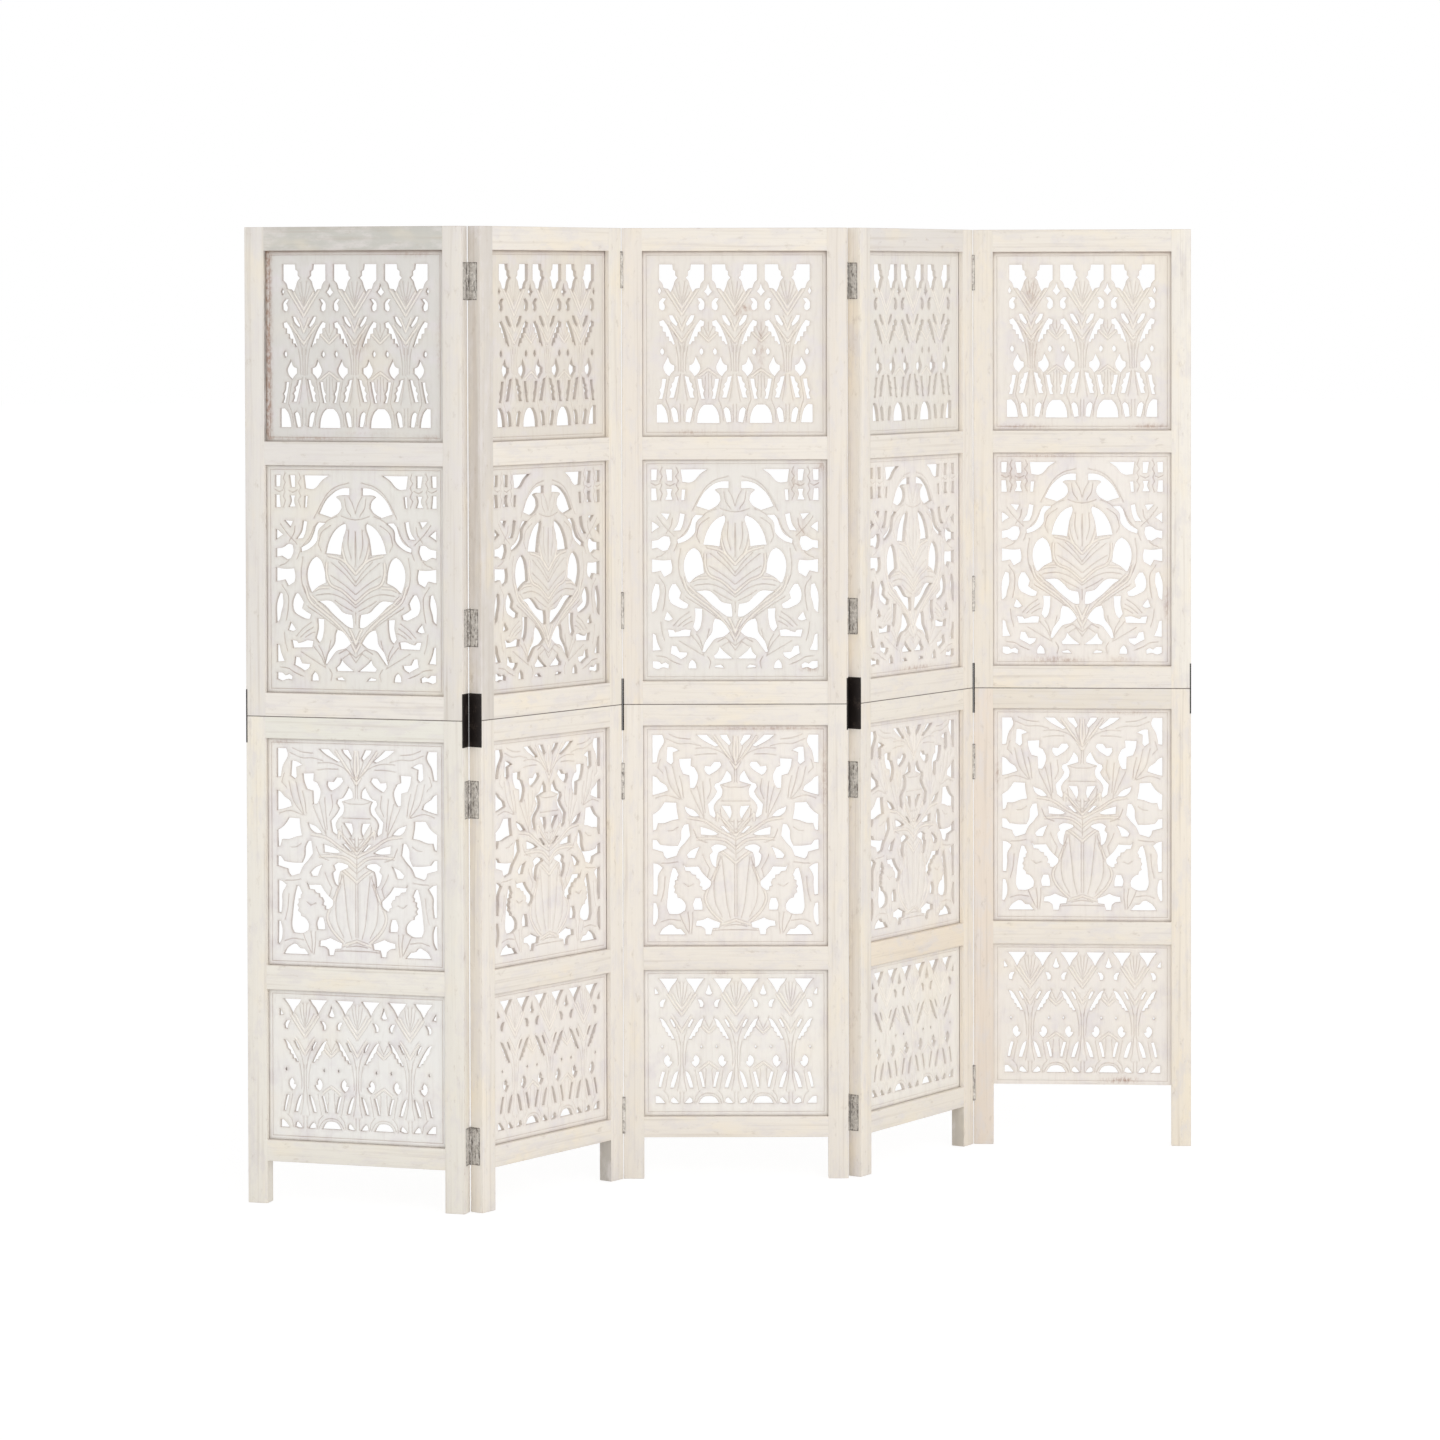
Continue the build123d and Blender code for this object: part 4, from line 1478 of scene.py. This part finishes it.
# node, panel: u, foot and head of a stile's darker inner face, and what is left of its tone; on
# panel 1 this is painted shade in the crown's reveal
dark_reveals = {
    ("upper_stiles", 1): (stile_width, 1289.0, 1610.0, 0.50),
    ("lower_stiles", 2): (panel_width - stile_width, 0.0, foot_height, 0.62),
    ("lower_stiles", 4): (panel_width - stile_width, 0.0, foot_height, 0.66),
}
reveal_end = 1.0
print(len(dark_reveals), "inner faces are dirty")


# %% Battens and their cutters
def add_box(shape, low, high):
    """Add a box between two corners and return its points."""
    size = [b - a for a, b in zip(low, high)]
    middle = [(a + b) / 2 for a, b in zip(low, high)]
    matrix = Matrix.Translation(middle) @ Matrix.Diagonal((*size, 1))
    return bmesh.ops.create_cube(shape, size=1.0, matrix=matrix)["verts"]


def stile_foot(kind):
    """Return the height at which one half's stiles start."""
    return 0.0 if kind == "lower_stiles" else seam_height


def plain_stiles(kind):
    """Return a panel's two stiles as plain battens, with how far each edge is eased."""
    shape = bmesh.new()
    ease = shape.edges.layers.float.new("bevel_weight_edge")
    foot = stile_foot(kind)
    for inner, outer in ((stile_width, 0.0), (panel_width - stile_width, panel_width)):
        low = (min(inner, outer), 0.0, foot)
        high = (max(inner, outer), frame_thickness, foot + seam_height)
        add_box(shape, low, high)
    for edge in shape.edges:
        a, b = (vertex.co for vertex in edge.verts)
        upright = abs(a.z - b.z) > touching
        at_inner_face = min(abs(a.x - stile_width), abs(a.x - panel_width + stile_width)) < touching
        at_seam = abs(a.z - seam_height) < touching
        amount = outer_ease
        if at_seam and not upright:
            amount = seam_ease
        if at_inner_face and upright:
            amount = inner_ease
        edge[ease] = amount / outer_ease
    return shape


def stile_cutter(kind, panel):
    """Return what is cut from a panel's stiles: board grooves and the beds of plates and hinges."""
    shape = bmesh.new()
    foot = stile_foot(kind)
    head = foot + seam_height
    front, behind = -overrun, frame_thickness + overrun
    groove_foot = foot_height if kind == "lower_stiles" else foot - overrun
    groove_sides = (board_front - groove_clearance, board_back + groove_clearance)
    for inner, inwards in ((stile_width, -1), (panel_width - stile_width, 1)):
        ends = sorted((inner + inwards * groove_depth, inner - inwards * overrun))
        add_box(shape, (ends[0], groove_sides[0], groove_foot), (ends[1], groove_sides[1], head + overrun))
    half_plate = plate_height / 2 + let_in_clearance
    half_leaf = leaf_height / 2 + let_in_clearance
    barrel_room = barrel_radius + knuckle_gap
    for edge, outwards, fold in ((0.0, -1, panel - 1), (panel_width, 1, panel)):
        ends = sorted((edge - outwards * plate_bed, edge + outwards * overrun))
        add_box(shape, (ends[0], front, seam_height - half_plate),
                (ends[1], behind, seam_height + half_plate))
        if fold not in FOLDS:
            continue
        rear = fold in mountain_folds
        beds = (frame_thickness - leaf_width, behind) if rear else (front, leaf_width)
        ends = sorted((edge - outwards * leaf_thickness, edge + outwards * overrun))
        axis = (edge + outwards * panel_gap / 2, rear_axis if rear else front_axis)
        for z in hinge_heights[fold]:
            if not foot < z < head:
                continue
            add_box(shape, (ends[0], beds[0], z - half_leaf), (ends[1], beds[1], z + half_leaf))
            bmesh.ops.create_cone(
                shape, cap_ends=True, segments=round_sides, radius1=barrel_room,
                radius2=barrel_room, depth=2 * half_leaf, matrix=Matrix.Translation((*axis, z)),
            )
    return shape


print("a stile is", seam_height, "mm long")

# %% Easing and cutting
frame_sharp_from = 50
flat_within = math.radians(1)
weld_within = 1e-6


def mesh_of(shape, matrix=None, name="shape"):
    """Turn a bmesh into a mesh, moved from millimetres if a matrix is given."""
    mesh = bpy.data.meshes.new(name)
    shape.to_mesh(mesh)
    shape.free()
    if matrix is not None:
        mesh.transform(matrix @ Matrix.Scale(MM, 4))
    return mesh


def eased(mesh, name, cutter=None):
    """Ease a mesh's weighted edges, cut it if there is a cutter, and return the new mesh."""
    holder = linked("holder", mesh)
    bevel = holder.modifiers.new("ease", "BEVEL")
    bevel.limit_method = "WEIGHT"
    bevel.width = outer_ease
    bevel.segments = 2
    if cutter:
        tool = linked("tool", cutter)
        cut = holder.modifiers.new("cut", "BOOLEAN")
        cut.operation = "DIFFERENCE"
        cut.solver = "EXACT"
        cut.use_self = True
        cut.object = tool
    bpy.context.view_layer.update()
    graph = bpy.context.evaluated_depsgraph_get()
    made = bpy.data.meshes.new_from_object(holder.evaluated_get(graph))
    bpy.data.objects.remove(holder)
    if cutter:
        bpy.data.objects.remove(tool)
    made.name = name
    return smoothed(made, frame_sharp_from)


def stile_mesh(kind, panel):
    """Return the two stiles of one half of a panel, split at the ends of a dark reveal."""
    matrix = stand[panel]
    cutter = mesh_of(stile_cutter(kind, panel), matrix)
    mesh = eased(mesh_of(plain_stiles(kind), matrix), f"eased_{kind}_{panel}", cutter)
    if (kind, panel) not in dark_reveals:
        return mesh
    shape = bmesh.new()
    shape.from_mesh(mesh)
    _, foot, head, _ = dark_reveals[kind, panel]
    for level in (foot - reveal_end, foot, head, head + reveal_end):
        everything = [*shape.verts, *shape.edges, *shape.faces]
        bmesh.ops.bisect_plane(shape, geom=everything, plane_co=(0, 0, level * MM),
                               plane_no=(0, 0, 1))
    shape.to_mesh(mesh)
    shape.free()
    return mesh


def rail_mesh(kind, panel):
    """Return the rails of one half, from their solids, eased along their long edges."""
    shape = bmesh.new()
    shape.from_mesh(frame["nodes"][f"{kind}_{panel}"].data)
    bmesh.ops.remove_doubles(shape, verts=shape.verts, dist=weld_within)
    bmesh.ops.dissolve_limit(shape, angle_limit=flat_within, verts=shape.verts, edges=shape.edges)
    back = stand[panel].inverted()
    levels = [level for pair in rail_heights[kind] for level in pair]
    ease = shape.edges.layers.float.new("bevel_weight_edge")
    for edge in shape.edges:
        a, b = (back @ vertex.co / MM for vertex in edge.verts)
        on_face = min(a.y, frame_thickness - a.y) < touching and abs(a.y - b.y) < touching
        at_level = min(abs(a.z - z) for z in levels) < touching and abs(a.z - b.z) < touching
        at_seam = abs(a.z - seam_height) < touching
        amount = seam_ease if at_seam else outer_ease
        edge[ease] = amount / outer_ease if on_face and at_level else 0.0
    return eased(mesh_of(shape), f"eased_{kind}_{panel}")


print("edges are eased by", outer_ease / MM, "mm, at the seam by", seam_ease / MM)


# %% Grain and rims of the members
def panel_points(mesh, panel):
    """Return a mesh's points in its panel's frame, in millimetres."""
    points = np.zeros(len(mesh.vertices) * 3, np.float32)
    mesh.vertices.foreach_get("co", points)
    back = stand[panel].inverted()
    turn = np.array(back.to_3x3())
    return (points.reshape(-1, 3) @ turn.T + np.array(back.translation)) / MM


# a face that doesn't wear, as it is covered or inside, counts as this far off
far_off = 400.0


def stile_values(points, kind, panel):
    """Return grain, distances from the faces that wear, and member number."""
    u, v, z = points.T
    right_side = u > panel_width / 2
    across = np.where(right_side, panel_width - u, u)
    foot = stile_foot(kind)
    low = np.stack([across, v, z - foot], axis=1)
    high = np.stack([across + far_off, frame_thickness - v, foot + seam_height - z], axis=1)
    member = right_side.astype(int)
    shift = panel * 1.31 + member * 0.57 + (kind == "upper_stiles") * 2.2
    grain = np.stack([z * MM + shift, u * MM + shift, v * MM], axis=1)
    return grain, low, high, member


def rail_values(points, kind, panel):
    """Return the same for rails, whose grain runs across the panel and whose ends are covered."""
    u, v, z = points.T
    levels = rail_heights[kind]
    middles = np.array([(low + high) / 2 for low, high in levels])
    member = np.abs(z[:, None] - middles[None]).argmin(axis=1)
    sill = np.array([low for low, _ in levels], float)[member]
    top = np.array([high for _, high in levels], float)[member]
    covered = np.full(len(points), far_off)
    low = np.stack([z - sill, v, covered], axis=1)
    high = np.stack([top - z, frame_thickness - v, covered], axis=1)
    shift = panel * 0.83 + member * 0.41 + (kind == "upper_rails") * 1.7
    grain = np.stack([u * MM + shift, z * MM + shift, v * MM], axis=1)
    return grain, low, high, member


def kept_tone(points, kind, panel):
    """Return what share of the tone each point keeps: less than 1 on a dark reveal."""
    share = np.ones(len(points))
    if (kind, panel) in dark_reveals:
        face, foot, head, kept = dark_reveals[kind, panel]
        u, v, z = points.T
        between = (z > foot - reveal_end / 2) & (z < head + reveal_end / 2)
        share[(np.abs(u - face) < touching) & (v > 2 * touching) & between] = kept
    return share


print("grain runs up the stiles and across the rails")

# %% Stiles and rails
members = (
    ("upper_stiles", stile_mesh, stile_values),
    ("lower_stiles", stile_mesh, stile_values),
    ("upper_rails", rail_mesh, rail_values),
    ("lower_rails", rail_mesh, rail_values),
)
for kind, mesh_for, values_for in members:
    for panel in PANELS:
        mesh = mesh_for(kind, panel)
        points = panel_points(mesh, panel)
        grain, low, high, member = values_for(points, kind, panel)
        give_values(mesh, "grain", grain)
        give_values(mesh, "rim_low", low * MM)
        give_values(mesh, "rim_high", high * MM)
        tones = member_tone_and_shade.get((kind, panel), (default_frame_tone,) * 3)
        linear = np.array([colour(*tone)[:3] for tone in tones])
        give_values(mesh, "paint", linear[member] * kept_tone(points, kind, panel)[:, None])
        mesh.materials.clear()
        mesh.materials.append(frame_paint.material)
        new_piece(f"eased_{kind}_{panel}", mesh, f"panel_{panel}", "painted_frame", f"{kind}_{panel}")
    print(kind, "eased, the last with", len(mesh.polygons), "faces")

# %% [markdown]
# ## Seam plates
# Where a panel's two halves meet, a black steel plate is screwed over the joint on each long edge. It
# is cut from strip as wide as the edge and let in until it is only a hair proud, so the plates of
# neighbouring panels almost meet.

# %% A stamped plate
plate_corner = 0.6
plate_proud = 0.24
plate_lip = 0.3
plate_ease = 0.15
rim_profile = 0.6
metal_sharp_from = 35


def rounded_rectangle(low, high, radius, steps=4):
    """Return a closed loop of points round a rectangle with round corners."""
    (x1, y1), (x2, y2) = low, high
    corners = (
        (x2 - radius, y2 - radius, 0),
        (x1 + radius, y2 - radius, 90),
        (x1 + radius, y1 + radius, 180),
        (x2 - radius, y1 + radius, 270),
    )
    loop = []
    for x, y, start in corners:
        for k in range(steps + 1):
            angle = math.radians(start + 90 * k / steps)
            loop.append((x + radius * math.cos(angle), y + radius * math.sin(angle)))
    return loop


def slab(shape, loop, near, far, ease, across):
    """Add a flat slab between two levels, from a loop of points that across() puts in place."""
    before = set(shape.faces)
    bottom = [shape.verts.new(across(a, b, near)) for a, b in loop]
    top = [shape.verts.new(across(a, b, far)) for a, b in loop]
    shape.faces.new(bottom)
    shape.faces.new(list(reversed(top)))
    for k in range(len(loop)):
        following = (k + 1) % len(loop)
        shape.faces.new((bottom[following], bottom[k], top[k], top[following]))
    made = [face for face in shape.faces if face not in before]
    bmesh.ops.recalc_face_normals(shape, faces=made)
    rims = {edge for face in made[:2] for edge in face.edges}
    bmesh.ops.bevel(shape, geom=list(rims), offset=ease, segments=2, profile=rim_profile,
                    affect="EDGES", clamp_overlap=True)


def metal_mesh(shape, name, material, matrix=None):
    """Turn a bmesh into a smooth mesh of one metal, placed if a matrix is given."""
    mesh = smoothed(mesh_of(shape, matrix, name), metal_sharp_from)
    mesh.materials.append(material)
    return mesh


for panel in PANELS:
    shape = bmesh.new()
    loop = rounded_rectangle(
        (-plate_lip, seam_height - plate_height / 2),
        (frame_thickness + plate_lip, seam_height + plate_height / 2),
        plate_corner,
    )
    for near, far in ((plate_bed, -plate_proud),
                      (panel_width - plate_bed, panel_width + plate_proud)):
        slab(shape, loop, near, far, plate_ease, lambda v, z, u: (u, v, z))
    mesh = metal_mesh(shape, f"stamped_plates_{panel}", blackened.material, stand[panel])
    new_piece(f"stamped_plates_{panel}", mesh, f"panel_{panel}", "blackened_plate",
              f"seam_plates_{panel}")
print("plates on", len(PANELS), "panels")

# %% [markdown]
# ## Hinges
# A butt hinge is two leaves rolled into knuckles round one pin. The solids draw the knuckles with
# eight flats, which is enough to turn on. Here they are round, with eased corners on the leaves and
# a slightly proud button at each end of the pin. A hinge is drawn about its own axis, with its leaves
# running towards -y, and turned over end for end where the fold closes the other way.

# %% Hinge sizes
knuckle_height = (leaf_height - 2 * knuckle_gap) / 3
leaf_end = -(axis_stand_off + leaf_width)
leaf_corner = 2.6
leaf_ease = 0.25
# the neck between a leaf and its knuckle, from inside the leaf to inside the barrel
neck_start = -barrel_radius - 1.5
neck_end = -1.7
neck_corner = 0.3
neck_ease = 0.1
knuckle_ease = 0.4
bore_clearance = 0.12
# a pin's button: how much smaller than the barrel, and its dome's steps
button_inset = 0.5
button_rim = 0.3
button_shoulder = 0.8
button_height = 0.9
button_tip = 0.01


def hinge_frames(fold, panel):
    """Return a matrix for each hinge of a fold, turned with one of its panels."""
    over = 0 if fold in mountain_folds else 180
    base = Matrix.Translation(fold_axis(fold)) @ turned(panel_yaw[panel])
    heights = hinge_heights[fold]
    return [base @ Matrix.Translation((0, 0, z * MM)) @ turned(over, "X") for z in heights]


print("a knuckle is", round(knuckle_height, 2), "mm tall")

# %% Leaves, knuckles and pins


def turning(shape, profile):
    """Add a closed ring turned about z, from points of radius and height."""
    rings = []
    made = []
    for k in range(round_sides):
        angle = math.tau * k / round_sides
        rings.append([
            shape.verts.new((r * math.cos(angle), r * math.sin(angle), z)) for r, z in profile
        ])
    count = len(profile)
    for k in range(round_sides):
        here, there = rings[k], rings[(k + 1) % round_sides]
        for p in range(count):
            q = (p + 1) % count
            made.append(shape.faces.new((here[p], there[p], there[q], here[q])))
    bmesh.ops.recalc_face_normals(shape, faces=made)


def leaf_shape(shape, side, knuckles):
    """Add one leaf with its rolled knuckles, given as heights of their middles."""
    half = leaf_height / 2
    near, far = side * panel_gap / 2, side * (panel_gap / 2 + leaf_thickness)
    body = rounded_rectangle((leaf_end, -half), (-barrel_radius - knuckle_gap, half), leaf_corner)
    slab(shape, body, near, far, leaf_ease, lambda y, z, x: (x, y, z))
    bore, rim = pin_radius + bore_clearance, barrel_radius - knuckle_ease
    for middle in knuckles:
        low, high = middle - knuckle_height / 2, middle + knuckle_height / 2
        neck = rounded_rectangle((neck_start, low), (neck_end, high), neck_corner, 1)
        slab(shape, neck, near, far, neck_ease, lambda y, z, x: (x, y, z))
        turning(shape, ((bore, low), (rim, low), (barrel_radius, low + knuckle_ease),
                        (barrel_radius, high - knuckle_ease), (rim, high), (bore, high)))


def pin_shape(shape):
    """Add a pin with a low button on each end."""
    half = leaf_height / 2
    button = barrel_radius - button_inset
    upper_end = (
        (pin_radius, half),
        (button, half),
        (button, half + button_rim),
        (button - button_shoulder, half + button_shoulder),
        (button_tip, half + button_height),
    )
    lower_end = tuple((r, -z) for r, z in reversed(upper_end))
    turning(shape, lower_end + upper_end)


def joined_copies(draw, frames, name, material):
    """Draw a shape once for each frame as one mesh, whose points remember where they were drawn."""
    whole = bmesh.new()
    own_place = whole.verts.layers.float_vector.new("leaf_place")
    for matrix in frames:
        before = set(whole.verts)
        draw(whole)
        for vertex in set(whole.verts) - before:
            vertex[own_place] = vertex.co
            vertex.co = matrix @ (vertex.co * MM)
    return metal_mesh(whole, name, material)


outer_knuckles = (-(leaf_height - knuckle_height) / 2, (leaf_height - knuckle_height) / 2)
for fold in FOLDS:
    fast, swung = hinge_frames(fold, fold), hinge_frames(fold, fold + 1)
    sets = (
        ("outer_hinge_leaves", fast, fold, zinc.material, "zinc_leaf",
         lambda shape: leaf_shape(shape, -1, outer_knuckles)),
        ("middle_hinge_leaves", swung, fold + 1, zinc.material, "zinc_leaf",
         lambda shape: leaf_shape(shape, 1, (0,))),
        ("hinge_pins", fast, fold, steel.material, "steel_pin", pin_shape),
    )
    for node, frames, panel, material, slot, draw in sets:
        mesh = joined_copies(draw, frames, f"round_{node}_{fold}", material)
        new_piece(f"round_{node}_{fold}", mesh, f"panel_{panel}", slot, f"{node}_{fold}")
    print("fold", fold, "has", len(hinge_heights[fold]), "hinges")

# %% [markdown]
# ## Screws
# Three countersunk screws hold each hinge leaf and four hold each plate. They are all alike, so one
# head with its cross recess is cut once in a Geometry Nodes tree, and instances of it are put on
# points that say where each screw sits and which way it faces.

# %% The screw tree
screw_sizes = (
    ("Head Radius", 0.0030),
    ("Head Height", 0.0007),
    ("Recess Length", 0.0034),
    ("Recess Width", 0.0008),
    ("Recess Depth", 0.0005),
)
head_sides = 14
rim_share = 0.8
usual_seed = 7


def screw_tree():
    """Build the node tree that puts a screw head on each point."""
    tree = bpy.data.node_groups.new("countersunk_screws", "GeometryNodeTree")
    face = tree.interface
    face.new_socket("Points", in_out="INPUT", socket_type="NodeSocketGeometry")
    for label, value in screw_sizes:
        face.new_socket(label, in_out="INPUT", socket_type="NodeSocketFloat").default_value = value
    face.new_socket("Seed", in_out="INPUT", socket_type="NodeSocketInt").default_value = usual_seed
    face.new_socket("Finish", in_out="INPUT", socket_type="NodeSocketMaterial")
    face.new_socket("Screws", in_out="OUTPUT", socket_type="NodeSocketGeometry")

    def node(kind, settings=None, output=0, **inputs):
        """Add a node, with inputs named as on the node, and return one of its outputs."""
        given_inputs = {label.replace("_", " "): value for label, value in inputs.items()}
        return add_node(tree, kind, settings, given_inputs).outputs[output]

    def times(value, factor):
        made = add_node(tree, "ShaderNodeMath", {"operation": "MULTIPLY"}, {0: value, 1: factor})
        return made.outputs[0]

    given = tree.nodes.new("NodeGroupInput").outputs
    length, width = given["Recess Length"], given["Recess Width"]
    head = node("GeometryNodeMeshCone", {"fill_type": "NGON"}, Vertices=head_sides,
                Radius_Top=times(given["Head Radius"], rim_share),
                Radius_Bottom=given["Head Radius"], Depth=given["Head Height"])
    deep = times(given["Recess Depth"], 2.0)
    lift = node("ShaderNodeCombineXYZ", Z=given["Head Height"])
    cut = add_node(tree, "GeometryNodeMeshBoolean", {"operation": "DIFFERENCE"}, {"Mesh 1": head})
    for x, y in ((length, width), (width, length)):
        bar = node("GeometryNodeMeshCube", Size=node("ShaderNodeCombineXYZ", X=x, Y=y, Z=deep))
        raised = node("GeometryNodeTransform", Geometry=bar, Translation=lift)
        tree.links.new(raised, cut.inputs["Mesh 2"])
    facing = node("GeometryNodeInputNamedAttribute", {"data_type": "FLOAT_VECTOR"}, "Attribute",
                  Name="facing")
    aligned = node("FunctionNodeAlignRotationToVector", {"axis": "Z"}, Vector=facing)
    spin = node("FunctionNodeRandomValue", {"data_type": "FLOAT"}, 1,
                Min=0.0, Max=math.tau, Seed=given["Seed"])
    spun = node("FunctionNodeAxisAngleToRotation", Angle=spin)
    both = node("FunctionNodeRotateRotation", {"rotation_space": "LOCAL"},
                Rotation=aligned, Rotate_By=spun)
    copies = node("GeometryNodeInstanceOnPoints", Points=given["Points"],
                  Instance=cut.outputs["Mesh"], Rotation=both)
    real = node("GeometryNodeRealizeInstances", Geometry=copies)
    painted = node("GeometryNodeSetMaterial", Geometry=real, Material=given["Finish"])
    add_node(tree, "NodeGroupOutput", inputs={"Screws": painted})
    return tree


screws_tree = screw_tree()
print("the screw tree has", len(screws_tree.nodes), "nodes")

# %% Places of the screws
plate_screw_heights = (-36.0, -13.0, 13.0, 36.0)
leaf_screw_places = ((-16.5, -21.0), (-10.0, 0.0), (-16.5, 21.0))
head_sunk = 0.5
screw_places = {(panel, slot): [] for panel in PANELS for slot in ("zinc_leaf", "blackened_plate")}


def add_screw(panel, slot, matrix, point, facing):
    """Note one screw on a panel, from its place in millimetres and its direction."""
    place = matrix @ (Vector(point) * MM)
    direction = matrix.to_3x3() @ Vector(facing)
    screw_places[panel, slot].append((place, direction))


middle_v = frame_thickness / 2
for panel in PANELS:
    for z in plate_screw_heights:
        for u, outwards in ((head_sunk, -1), (panel_width - head_sunk, 1)):
            point = (u, middle_v, seam_height + z)
            add_screw(panel, "blackened_plate", stand[panel], point, (outwards, 0, 0))
for fold in FOLDS:
    for panel, side in ((fold, -1), (fold + 1, 1)):
        sunk_x = side * (panel_gap / 2 + head_sunk)
        for matrix in hinge_frames(fold, panel):
            for y, z in leaf_screw_places:
                add_screw(panel, "zinc_leaf", matrix, (sunk_x, y, z), (-side, 0, 0))
print({key: len(places) for key, places in screw_places.items()})

# %% Two meshes of screws for each panel
sockets = {item.name: item.identifier for item in screws_tree.interface.items_tree}
finish_of = {"zinc_leaf": zinc.material, "blackened_plate": blackened.material}
for (panel, slot), places in screw_places.items():
    name = f"{slot}_screws_{panel}"
    points = bpy.data.meshes.new(name)
    points.from_pydata([tuple(place) for place, _ in places], [], [])
    give_values(points, "facing", [tuple(direction) for _, direction in places])
    holder = linked(name, points)
    modifier = holder.modifiers.new("screws", "NODES")
    modifier.node_group = screws_tree
    modifier[sockets["Seed"]] = panel
    modifier[sockets["Finish"]] = finish_of[slot]
    graph = bpy.context.evaluated_depsgraph_get()
    mesh = bpy.data.meshes.new_from_object(holder.evaluated_get(graph))
    bpy.data.objects.remove(holder)
    mesh.name = name
    new_piece(name, mesh, f"panel_{panel}", slot)
    print(name, len(mesh.polygons), "faces")
